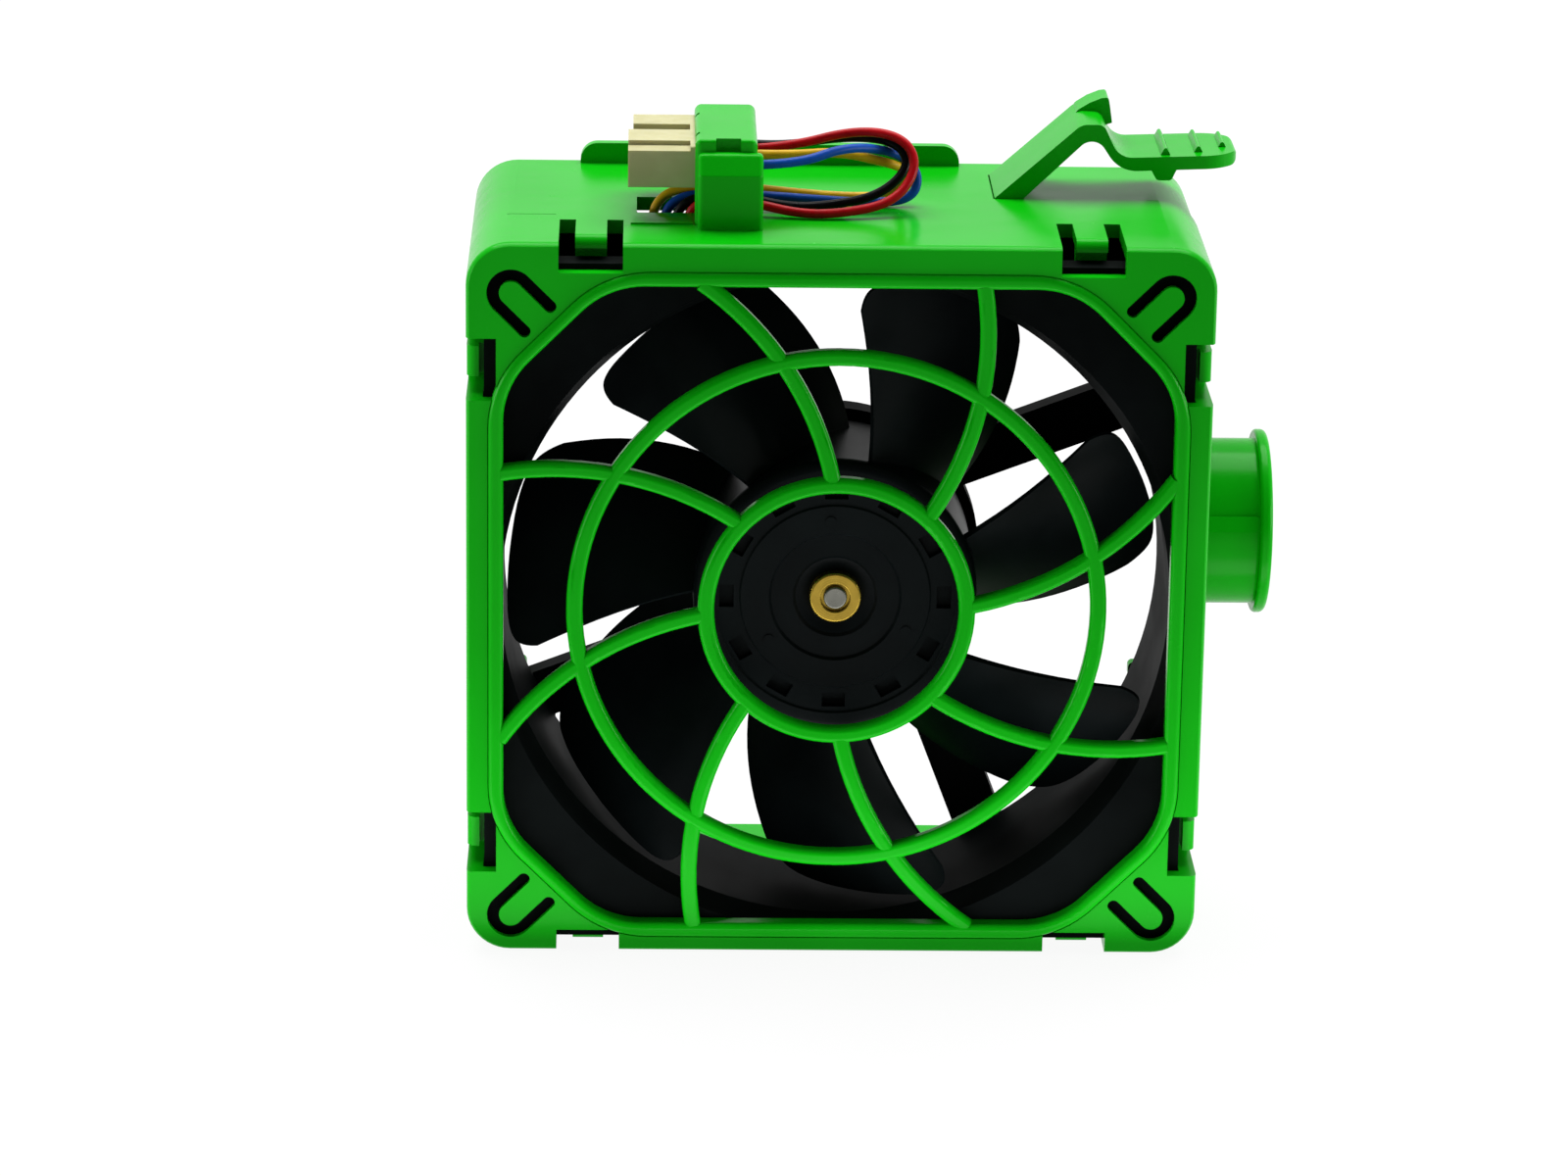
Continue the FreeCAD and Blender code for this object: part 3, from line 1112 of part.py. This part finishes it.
label = ring("rear_label", 0, 23.0, FR, FR + 0.2)
keep(label, "rear_label")

# ---------------------------------------------------------------- wires
WR = D["wire_diameter"] / 2


def route_tube(name, pts_):
    """Straight runs joined by tangent arcs; each radius is 0.45 of the shorter run over tan(half turn)."""
    P = [Vector(*p_) for p_ in pts_]
    n = len(P)
    arcs = {}
    radii = []
    for i in range(1, n - 1):
        a = (P[i - 1] - P[i])
        b = (P[i + 1] - P[i])
        la, lb = a.Length, b.Length
        a.normalize()
        b.normalize()
        turn = math.pi - a.getAngle(b)
        dd = 0.45 * min(la, lb)
        r = dd / math.tan(turn / 2)
        bis = (a + b).normalize()
        c_ = P[i] + bis * math.hypot(r, dd)
        arcs[i] = (P[i] + a * dd, c_ - bis * r, P[i] + b * dd)
        radii.append((round(r, 1), round(math.degrees(turn))))
    edges = []
    cur = P[0]
    for i in range(1, n - 1):
        s0, m_, e0 = arcs[i]
        if (s0 - cur).Length > 1e-6:
            edges.append(Part.LineSegment(cur, s0).toShape())
        edges.append(Part.Arc(s0, m_, e0).toShape())
        cur = e0
    edges.append(Part.LineSegment(cur, P[-1]).toShape())
    w = Part.Wire(edges)
    d0 = (P[1] - P[0]).normalize()
    prof_ = Part.Wire([Part.Circle(P[0], d0, WR).toShape()])
    sol = w.makePipeShell([prof_], True, False)
    want = math.pi * WR * WR * w.Length
    runs = [round((P[i + 1] - P[i]).Length, 1) for i in range(n - 1)]
    print(name, "length %.1f mm" % w.Length, "volume ratio %.4f" % (sol.Volume / want), "radii/turns", radii, "runs", runs)
    o = doc.addObject("Part::Feature", name)
    o.Shape = sol
    keep(o, name)
    return o


def chan(along, i, y_=None):
    """Point in the lead channel at a distance from the fan axis, in lane i."""
    x_, z_ = sp(along, sh + (-2.7, -0.9, 0.9, 2.7)[i], LA)
    return (x_, D["channel_front"] + WR if y_ is None else y_, z_)


ROUTES = {
    "wire_red": [(-16.0, PINS[3], PZ), (-7.0, 29.8, 74.4), (2.2, 28.7, 77.1), (11.0, 27.2, 77.2), (14.9, 24.4, 71.0), (11.2, 21.0, 64.9),
                 (1.5, 18.9, 64.85), (-7.5, 19.4, 64.9), (-14.8, 21.3, 66.3)],
    "wire_blue": [(-16.0, PINS[0], PZ), (-7.5, 18.6, 73.9), (1.2, 20.0, 75.2), (9.5, 22.4, 75.3), (12.9, 25.2, 70.2), (9.6, 27.7, 65.2),
                  (1.2, 27.6, 65.2), (-7.0, 27.2, 65.6), (-16.5, 27.3, 66.3)],
    "wire_yellow": [(-16.0, PINS[2], PZ), (-8.0, 26.4, 74.4), (0.0, 26.8, 75.2), (6.2, 27.7, 75.4), (9.4, 30.1, 70.5), (6.3, 31.8, 65.2),
                    (-0.1, 31.3, 64.9), (-8.0, 30.0, 66.8), (-17.5, 29.2, 67.2)],
    "wire_black": [(-16.0, PINS[4], PZ), (-7.4, 33.8, 73.9), (1.3, 32.2, 75.8), (8.7, 28.9, 76.1), (10.9, 25.6, 70.6), (7.6, 23.8, 65.2),
                   (0.0, 23.3, 65.0), (-8.5, 23.6, 65.0), (-16.0, 25.0, 66.3)],
}
LANE = {"wire_red": 0, "wire_black": 1, "wire_blue": 2, "wire_yellow": 3}
YD = {"wire_red": 23.9, "wire_black": 25.4, "wire_blue": 26.8, "wire_yellow": 27.7}
ZT = {"wire_red": 66.2, "wire_black": 66.2, "wire_blue": 66.2, "wire_yellow": 67.0}
for nm in ("wire_red", "wire_yellow", "wire_blue", "wire_black"):
    i = LANE[nm]
    low = 55.2
    al = (low + math.sin(LA - math.pi / 2) * (sh + (-2.7, -0.9, 0.9, 2.7)[i])) / math.sin(LA)
    cx_, cy_, cz_ = chan(al, i)
    pts_ = ROUTES[nm] + [(cx_, YD[nm], ZT[nm]), (cx_, YD[nm], low), (cx_, cy_, low), chan(al - 14, i, D["channel_front"] + WR + 0.45),
                          chan(al - 28.5, i, D["channel_front"] + WR + 0.45), chan(20.0, i)]
    ROUTES[nm] = pts_
    route_tube(nm, pts_)

# ---------------------------------------------------------------- checks and export
doc.recompute()
bad = []
for o in doc.Objects:
    st = set(o.State)
    if "Invalid" in st or "Error" in st:
        bad.append((o.Name, o.Label, list(st)))
for o in NODES:
    sh_ = o.Shape
    if sh_.isNull() or not sh_.isValid() or not sh_.Solids:
        bad.append((o.Name, "shape"))
if bad:
    raise RuntimeError("failed objects: %s" % bad)
for o in NODES:
    b = o.Shape.BoundBox
    print("%-24s solids %2d vol %9.1f  x %6.1f..%6.1f y %6.1f..%6.1f z %6.1f..%6.1f" %
          (o.Label, len(o.Shape.Solids), o.Shape.Volume, b.XMin, b.XMax, b.YMin, b.YMax, b.ZMin, b.ZMax))
    o.Shape.exportStep("parts/%s.step" % o.Label)
print(len(NODES), "nodes")
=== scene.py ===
import bpy, bmesh, math
from mathutils import Vector, Matrix


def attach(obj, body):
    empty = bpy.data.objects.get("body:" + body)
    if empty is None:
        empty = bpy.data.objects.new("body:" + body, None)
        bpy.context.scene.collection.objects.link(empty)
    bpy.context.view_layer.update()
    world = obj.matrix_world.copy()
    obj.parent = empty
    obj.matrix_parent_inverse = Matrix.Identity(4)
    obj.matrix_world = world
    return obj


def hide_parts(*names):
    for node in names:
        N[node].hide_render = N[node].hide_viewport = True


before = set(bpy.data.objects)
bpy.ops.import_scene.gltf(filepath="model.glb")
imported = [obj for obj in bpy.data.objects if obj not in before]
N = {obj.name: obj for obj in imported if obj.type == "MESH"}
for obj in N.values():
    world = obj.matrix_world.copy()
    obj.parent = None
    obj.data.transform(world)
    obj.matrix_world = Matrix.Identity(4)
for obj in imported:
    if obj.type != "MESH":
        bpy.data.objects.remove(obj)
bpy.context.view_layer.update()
scene = bpy.context.scene
MM = 0.001


# ---------------------------------------------------------------- camera
cam_data = bpy.data.cameras.new("camera")
cam_data.sensor_width = 36.0
cam_data.lens = 134.857
cam_data.clip_start = 0.05
cam_data.clip_end = 50.0
cam = bpy.data.objects.new("camera", cam_data)
scene.collection.objects.link(cam)
right = Vector((0.9996889, -0.0204246, 0.0143150))
up = Vector((-0.0075085, 0.3008695, 0.9536358))
back = Vector((-0.0237846, -0.9534466, 0.3006226))
m = Matrix.Identity(4)
for i in range(3):
    m[i][0], m[i][1], m[i][2] = right[i], up[i], back[i]
m.translation = Vector((-0.0327417, -0.9812268, 0.3661024))
cam.matrix_world = m
scene.camera = cam


# ---------------------------------------------------------------- material tools
def socket(node, name):
    for s in node.inputs:
        if s.name == name:
            return s
    raise KeyError(name)


class Mat:
    """A small helper round one node material."""

    def __init__(self, name, color, rough, metallic=0.0, spec=0.5, ior=None, coat=0.0, coat_rough=0.1):
        self.m = bpy.data.materials.new(name)
        self.m.use_nodes = True
        self.t = self.m.node_tree
        self.b = self.t.nodes["Principled BSDF"]
        socket(self.b, "Base Color").default_value = (*color, 1.0)
        socket(self.b, "Roughness").default_value = rough
        socket(self.b, "Metallic").default_value = metallic
        socket(self.b, "Specular IOR Level").default_value = spec
        if ior:
            socket(self.b, "IOR").default_value = ior
        socket(self.b, "Coat Weight").default_value = coat
        socket(self.b, "Coat Roughness").default_value = coat_rough
        self.coord = self.t.nodes.new("ShaderNodeTexCoord")
        self.normal = None

    def node(self, kind, **kw):
        n = self.t.nodes.new(kind)
        for k, v in kw.items():
            setattr(n, k, v)
        return n

    def link(self, a, b):
        self.t.links.new(a, b)

    def noise(self, scale, detail=3.0, rough=0.55, stretch=None, distortion=0.0):
        n = self.node("ShaderNodeTexNoise")
        n.inputs["Scale"].default_value = scale
        n.inputs["Detail"].default_value = detail
        n.inputs["Roughness"].default_value = rough
        n.inputs["Distortion"].default_value = distortion
        src = self.coord.outputs["Object"]
        if stretch:
            mp = self.node("ShaderNodeMapping")
            mp.inputs["Scale"].default_value = stretch
            self.link(src, mp.inputs["Vector"])
            src = mp.outputs["Vector"]
        self.link(src, n.inputs["Vector"])
        return n.outputs["Fac"]

    def spread(self, fac, lo, hi, a=0.35, b=0.65):
        n = self.node("ShaderNodeMapRange")
        n.inputs["From Min"].default_value = a
        n.inputs["From Max"].default_value = b
        n.inputs["To Min"].default_value = lo
        n.inputs["To Max"].default_value = hi
        self.link(fac, n.inputs["Value"])
        return n.outputs["Result"]

    def mix_color(self, fac, ca, cb):
        n = self.node("ShaderNodeMix", data_type="RGBA")
        self.link(fac, n.inputs[0])
        for i, c in ((6, ca), (7, cb)):
            if isinstance(c, tuple):
                n.inputs[i].default_value = (*c, 1.0)
            else:
                self.link(c, n.inputs[i])
        return n.outputs[2]

    def color(self, out):
        self.link(out, socket(self.b, "Base Color"))

    def rough(self, out):
        self.link(out, socket(self.b, "Roughness"))

    def bump(self, height, distance, strength=1.0):
        n = self.node("ShaderNodeBump")
        n.inputs["Strength"].default_value = strength
        n.inputs["Distance"].default_value = distance
        self.link(height, n.inputs["Height"])
        if self.normal is not None:
            self.link(self.normal, n.inputs["Normal"])
        self.normal = n.outputs["Normal"]
        self.link(self.normal, socket(self.b, "Normal"))

    def radial(self, cx, cz):
        """Distance from a line along Y through (cx, cz), and from there rings for turned or moulded faces."""
        sep = self.node("ShaderNodeSeparateXYZ")
        self.link(self.coord.outputs["Object"], sep.inputs[0])
        parts = []
        for axis, c in (("X", cx), ("Z", cz)):
            a = self.node("ShaderNodeMath", operation="SUBTRACT")
            self.link(sep.outputs[axis], a.inputs[0])
            a.inputs[1].default_value = c
            p = self.node("ShaderNodeMath", operation="POWER")
            self.link(a.outputs[0], p.inputs[0])
            p.inputs[1].default_value = 2.0
            parts.append(p.outputs[0])
        s = self.node("ShaderNodeMath", operation="ADD")
        self.link(parts[0], s.inputs[0])
        self.link(parts[1], s.inputs[1])
        r = self.node("ShaderNodeMath", operation="SQRT")
        self.link(s.outputs[0], r.inputs[0])
        return r.outputs[0]

    def wave_of(self, value, freq):
        k = self.node("ShaderNodeMath", operation="MULTIPLY")
        self.link(value, k.inputs[0])
        k.inputs[1].default_value = freq
        s = self.node("ShaderNodeMath", operation="SINE")
        self.link(k.outputs[0], s.inputs[0])
        return s.outputs[0]


def put(mat, *names):
    for n in names:
        me = N[n].data
        me.materials.clear()
        me.materials.append(mat.m)


# ---------------------------------------------------------------- green moulded plastic
def green(name, seed):
    g = Mat(name, (0.002, 0.31, 0.003), 0.22, spec=0.06)
    big = g.noise(26.0 + seed, 2.0)
    g.color(g.mix_color(g.spread(big, 0.0, 1.0), (0.0015, 0.295, 0.002), (0.003, 0.33, 0.004)))
    fine = g.noise(900.0 + 11 * seed, 4.0, 0.6)
    smear = g.noise(60.0, 3.0, 0.6, stretch=(1.0, 3.5, 1.0))
    mixn = g.node("ShaderNodeMath", operation="ADD")
    g.link(g.spread(smear, 0.0, 0.09, 0.3, 0.75), mixn.inputs[0])
    g.link(g.spread(fine, 0.16, 0.20), mixn.inputs[1])
    g.rough(mixn.outputs[0])
    g.bump(g.noise(240.0, 2.0), 0.00004, 0.35)
    g.bump(fine, 0.00001, 0.5)
    return g


put(green("green_carrier", 0), "carrier_housing")
put(green("green_grille", 3), "front_grille")
put(green("green_spool", 5), "side_spool")
put(green("green_latch", 7), "release_latch")
put(green("green_holder", 9), "connector_holder")


# ---------------------------------------------------------------- black fan plastics
def black(name, color, lo, hi, grain, depth, spec=0.5):
    g = Mat(name, color, lo, spec=spec)
    n1 = g.noise(grain, 5.0, 0.6)
    n2 = g.noise(45.0, 3.0, 0.6, stretch=(1.0, 0.5, 1.0))
    c2 = tuple(min(1.0, c * 1.9 + 0.0004) for c in color)
    g.color(g.mix_color(g.spread(n2, 0.0, 1.0), color, c2))
    g.rough(g.spread(n2, lo, hi))
    g.bump(n1, depth, 0.6)
    return g


put(black("fan_black", (0.0016, 0.0022, 0.0022), 0.46, 0.60, 1400.0, 0.000012, spec=0.012), "fan_frame")
imp = black("impeller_black", (0.0014, 0.0024, 0.0026), 0.34, 0.46, 1700.0, 0.000016, spec=0.05)
rad = imp.radial(0.0, 0.062)
imp.bump(imp.wave_of(rad, 5200.0), 0.000003, 0.5)
put(imp, "impeller")

# ---------------------------------------------------------------- metals
def turned(name, color, lo, hi, cx, cz, freq, depth):
    g = Mat(name, color, lo, metallic=1.0)
    r = g.radial(cx, cz)
    n = g.noise(700.0, 3.0)
    w = g.wave_of(r, freq)
    g.rough(g.spread(n, lo, hi))
    dull = g.noise(220.0, 4.0)
    g.color(g.mix_color(g.spread(dull, 0.0, 1.0), color, tuple(c * 0.72 for c in color)))
    g.bump(w, depth, 0.7)
    g.bump(n, 0.000004, 0.4)
    return g


put(turned("bush_brass", (0.40, 0.27, 0.040), 0.26, 0.40, 0.0, 0.062, 16000.0, 0.000005), "hub_bush")
put(turned("shaft_steel", (0.22, 0.22, 0.19), 0.25, 0.42, 0.0, 0.062, 21000.0, 0.000004), "rotor_shaft")
put(turned("tube_brass", (0.42, 0.29, 0.06), 0.28, 0.40, 0.0, 0.062, 12000.0, 0.000005), "bearing_tube")
put(turned("bearing_steel", (0.66, 0.67, 0.68), 0.12, 0.22, 0.0, 0.062, 14000.0, 0.000003),
    "front_bearing_outer", "front_bearing_inner", "front_bearing_balls", "rear_bearing_outer", "rear_bearing_inner", "rear_bearing_balls")
put(turned("spring_steel", (0.45, 0.45, 0.47), 0.30, 0.42, 0.0, 0.062, 9000.0, 0.000003), "preload_spring", "retaining_ring")
put(turned("yoke_steel", (0.42, 0.42, 0.43), 0.35, 0.5, 0.0, 0.062, 5000.0, 0.000005), "rotor_yoke")

lam = Mat("lamination_steel", (0.30, 0.30, 0.32), 0.45, metallic=0.9)
sep = lam.node("ShaderNodeSeparateXYZ")
lam.link(lam.coord.outputs["Object"], sep.inputs[0])
lam.bump(lam.wave_of(sep.outputs["Y"], 12500.0), 0.00004, 0.9)
lam.rough(lam.spread(lam.noise(300.0), 0.38, 0.6))
put(lam, "stator_core")

magm = Mat("magnet_ferrite", (0.035, 0.032, 0.032), 0.65)
magm.rough(magm.spread(magm.noise(400.0, 5.0), 0.5, 0.8))
magm.bump(magm.noise(2200.0, 4.0), 0.00002, 0.6)
put(magm, "magnet_ring")

cop = Mat("winding_copper", (0.62, 0.22, 0.06), 0.28, metallic=0.75, coat=0.6, coat_rough=0.12)
sep = cop.node("ShaderNodeSeparateXYZ")
cop.link(cop.coord.outputs["Object"], sep.inputs[0])
cop.bump(cop.wave_of(sep.outputs["Y"], 18000.0), 0.00010, 1.0)
cop.color(cop.mix_color(cop.spread(cop.noise(260.0), 0.0, 1.0), (0.62, 0.22, 0.06), (0.42, 0.13, 0.04)))
put(cop, "stator_coils")

ins = Mat("insulator_nylon", (0.62, 0.60, 0.50), 0.5)
ins.rough(ins.spread(ins.noise(300.0), 0.42, 0.6))
ins.bump(ins.noise(1500.0, 4.0), 0.00002, 0.5)
put(ins, "insulator_front", "insulator_rear")

pcb = Mat("board_laminate", (0.012, 0.12, 0.035), 0.3, coat=0.4, coat_rough=0.15)
r = pcb.radial(0.0, 0.062)
weave = pcb.noise(120.0, 2.0, stretch=(6.0, 1.0, 1.0))
pcb.color(pcb.mix_color(pcb.spread(weave, 0.0, 1.0), (0.010, 0.10, 0.030), (0.020, 0.16, 0.050)))
pcb.bump(pcb.wave_of(r, 3600.0), 0.00001, 0.4)
put(pcb, "circuit_board")
put(black("chip_black", (0.012, 0.012, 0.013), 0.45, 0.6, 2600.0, 0.00001), "driver_chip", "hall_sensor")
put(turned("capacitor_can", (0.66, 0.67, 0.69), 0.22, 0.34, -0.0126, 0.0536, 9000.0, 0.000004), "filter_capacitor")

# ---------------------------------------------------------------- connector
ivory = Mat("connector_ivory", (0.39, 0.37, 0.20), 0.42, spec=0.12)
socket(ivory.b, "Subsurface Weight").default_value = 0.18
socket(ivory.b, "Subsurface Radius").default_value = (1.0, 0.8, 0.5)
socket(ivory.b, "Subsurface Scale").default_value = 0.0012
ivory.color(ivory.mix_color(ivory.spread(ivory.noise(150.0, 3.0), 0.0, 1.0), (0.41, 0.39, 0.215), (0.365, 0.345, 0.18)))
ivory.rough(ivory.spread(ivory.noise(420.0, 3.0), 0.34, 0.52))
ivory.bump(ivory.noise(1900.0, 3.0), 0.00001, 0.5)
put(ivory, "connector_housing")
tin = Mat("contact_tin", (0.72, 0.70, 0.64), 0.3, metallic=1.0)
tin.rough(tin.spread(tin.noise(800.0), 0.22, 0.45))
put(tin, "connector_terminals")

lab = Mat("label_film", (0.40, 0.41, 0.41), 0.34, metallic=0.35)
lab.color(lab.mix_color(lab.spread(lab.noise(90.0, 4.0), 0.0, 1.0), (0.42, 0.43, 0.43), (0.34, 0.35, 0.36)))
lab.rough(lab.spread(lab.noise(500.0, 4.0), 0.28, 0.44))
lab.bump(lab.noise(160.0, 3.0), 0.00005, 0.4)
put(lab, "rear_label")

# ---------------------------------------------------------------- wires
CH = 37.6 + 0.8
LA, SH = math.radians(111.0), 7.2
LANES = {"wire_red": 0, "wire_black": 1, "wire_blue": 2, "wire_yellow": 3}
OFFS = (-2.7, -0.9, 0.9, 2.7)


def chan(along, lane, y=CH):
    d = (math.cos(LA), math.sin(LA))
    side = SH + OFFS[lane]
    return (d[0] * along - d[1] * side, y, d[1] * along + d[0] * side)


ROUTES = {
    "wire_red": ([(-16.0, 30.1, 73.6), (-9.1, 29.9, 73.9), (2.9, 28.7, 77.5), (11.1, 27.1, 76.6), (13.4, 24.4, 71.9), (9.2, 21.0, 66.4),
                  (-0.8, 18.9, 64.95), (-7.5, 19.4, 64.95), (-14.8, 21.3, 66.3)], 23.9, 66.2, 139.0),
    "wire_blue": ([(-16.0, 18.1, 73.6), (-7.3, 18.6, 73.6), (1.1, 23.0, 75.9), (10.0, 30.3, 73.3), (14.0, 30.2, 69.5), (12.6, 28.8, 65.0),
                   (3.5, 27.6, 64.9), (-7.0, 27.2, 65.7), (-16.5, 27.3, 66.3)], 26.8, 66.2, 135.7),
    "wire_yellow": ([(-16.0, 26.1, 73.6), (-8.0, 26.0, 73.5), (-0.4, 26.2, 74.2), (8.8, 28.0, 71.8), (11.9, 31.5, 69.7), (9.2, 32.2, 65.05),
                     (1.7, 31.5, 64.9), (-8.0, 30.0, 66.0), (-17.5, 29.2, 67.2)], 27.7, 67.0, 131.2),
    "wire_black": ([(-16.0, 34.1, 73.6), (-9.5, 33.6, 73.2), (0.4, 31.6, 75.6), (9.6, 28.55, 75.75), (12.3, 26.1, 71.8), (6.7, 23.8, 66.9),
                    (-2.5, 23.3, 65.3), (-8.5, 23.6, 65.0), (-16.0, 25.0, 66.3)], 25.4, 66.2, 132.2),
}
WIRE_COLORS = {"wire_red": ((0.42, 0.003, 0.007), (0.33, 0.002, 0.005)), "wire_blue": ((0.004, 0.060, 0.34), (0.003, 0.042, 0.26)),
               "wire_yellow": ((0.60, 0.36, 0.010), (0.50, 0.28, 0.007)), "wire_black": ((0.0015, 0.0015, 0.002), (0.003, 0.003, 0.0035))}


def wire_points(name):
    pts, yd, zt, _ = ROUTES[name]
    i = LANES[name]
    low = 55.2
    al = (low + math.sin(LA - math.pi / 2) * (SH + OFFS[i])) / math.sin(LA)
    cx = chan(al, i)[0]
    full = pts + [(cx, yd, zt), (cx, yd, low), (cx, CH, low), chan(al - 14, i, CH + 0.45), chan(al - 28.5, i, CH + 0.45), chan(20.0, i)]
    return [Vector((x * MM, (y - 30.5) * MM, (z + 62.0) * MM)) for x, y, z in full]


for name in ROUTES:
    cu = bpy.data.curves.new(name + "_lead", "CURVE")
    cu.dimensions = "3D"
    cu.resolution_u = 16
    cu.bevel_depth = 0.0008
    cu.bevel_resolution = 6
    cu.use_fill_caps = True
    pts = wire_points(name)
    sp = cu.splines.new("NURBS")
    sp.points.add(len(pts) - 1)
    for i, p in enumerate(pts):
        sp.points[i].co = (*p, 1.0)
    sp.order_u = 3
    sp.use_endpoint_u = True
    ob = bpy.data.objects.new(name + "_lead", cu)
    scene.collection.objects.link(ob)
    w = Mat(name + "_pvc", WIRE_COLORS[name][0], 0.34, spec=0.10)
    w.color(w.mix_color(w.spread(w.noise(260.0, 3.0), 0.0, 1.0), *WIRE_COLORS[name]))
    w.rough(w.spread(w.noise(700.0, 3.0), 0.26, 0.42))
    w.bump(w.noise(500.0, 2.0), 0.00003, 0.5)
    cu.materials.append(w.m)
    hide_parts(name)
    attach(ob, "carrier")

# ---------------------------------------------------------------- floor, world and lights
bm = bmesh.new()
for x, y in ((-3, -1.6), (3, -1.6), (3, 3.4), (-3, 3.4)):
    bm.verts.new((x, y, -0.0002))
bm.faces.new(bm.verts)
me = bpy.data.meshes.new("floor")
bm.to_mesh(me)
bm.free()
floor = bpy.data.objects.new("floor", me)
scene.collection.objects.link(floor)
# Painted glow: the floor itself emits light, strength 0.45 towards the camera rising to 0.93 behind the object, which
# makes the floor white, fills in the contact shadow and lights the object from below.
fm = Mat("floor_glow_panel", (0.06, 0.06, 0.06), 0.8, spec=0.0)
socket(fm.b, "Emission Color").default_value = (1.0, 1.0, 1.0, 1.0)
gy = fm.node("ShaderNodeSeparateXYZ")
fm.link(fm.coord.outputs["Object"], gy.inputs[0])
ramp = fm.node("ShaderNodeMapRange", interpolation_type="SMOOTHSTEP")
ramp.inputs["From Min"].default_value = -0.80
ramp.inputs["From Max"].default_value = -0.36
ramp.inputs["To Min"].default_value = 0.45
ramp.inputs["To Max"].default_value = 0.93
fm.link(gy.outputs["Y"], ramp.inputs["Value"])
fm.link(ramp.outputs["Result"], socket(fm.b, "Emission Strength"))
fm.color(fm.mix_color(fm.spread(fm.noise(3.0, 4.0), 0.0, 1.0), (0.065, 0.065, 0.065), (0.055, 0.055, 0.055)))
me.materials.append(fm.m)

world = bpy.data.worlds.new("studio")
scene.world = world
world.use_nodes = True
wt = world.node_tree
bg = wt.nodes["Background"]
tc = wt.nodes.new("ShaderNodeTexCoord")
sx = wt.nodes.new("ShaderNodeSeparateXYZ")
wt.links.new(tc.outputs["Generated"], sx.inputs[0])
mr = wt.nodes.new("ShaderNodeMapRange")
mr.inputs["From Min"].default_value = -0.35
mr.inputs["From Max"].default_value = 0.35
mr.inputs["To Min"].default_value = 0.10
mr.inputs["To Max"].default_value = 1.0
wt.links.new(sx.outputs["Y"], mr.inputs["Value"])
wt.links.new(mr.outputs["Result"], bg.inputs["Strength"])
bg.inputs["Color"].default_value = (1.0, 1.0, 1.0, 1.0)


def area(name, loc, target, size, energy):
    ld = bpy.data.lights.new(name, "AREA")
    ld.shape = "RECTANGLE"
    ld.size, ld.size_y = size
    ld.energy = energy
    lo = bpy.data.objects.new(name, ld)
    scene.collection.objects.link(lo)
    lo.location = loc
    lo.rotation_mode = "QUATERNION"
    lo.rotation_quaternion = (Vector(target) - Vector(loc)).to_track_quat("-Z", "Y")
    return lo


area("overhead", (0.0, 0.40, 1.35), (0, 0.05, 0.1), (1.6, 0.85), 34.0)
area("side_left", (-0.95, -0.15, 0.16), (0, -0.03, 0.06), (0.5, 0.4), 5.8)
area("side_right", (0.95, -0.15, 0.16), (0, -0.03, 0.06), (0.5, 0.4), 6.2)
card = area("floor_card", (0.0, -0.060, 0.002), (0.0, -0.060, 1.0), (0.30, 0.045), 0.13)
card.rotation_quaternion = (0.0, 1.0, 0.0, 0.0)
card.visible_camera = False

scene.view_settings.view_transform = "Standard"
scene.view_settings.look = "None"
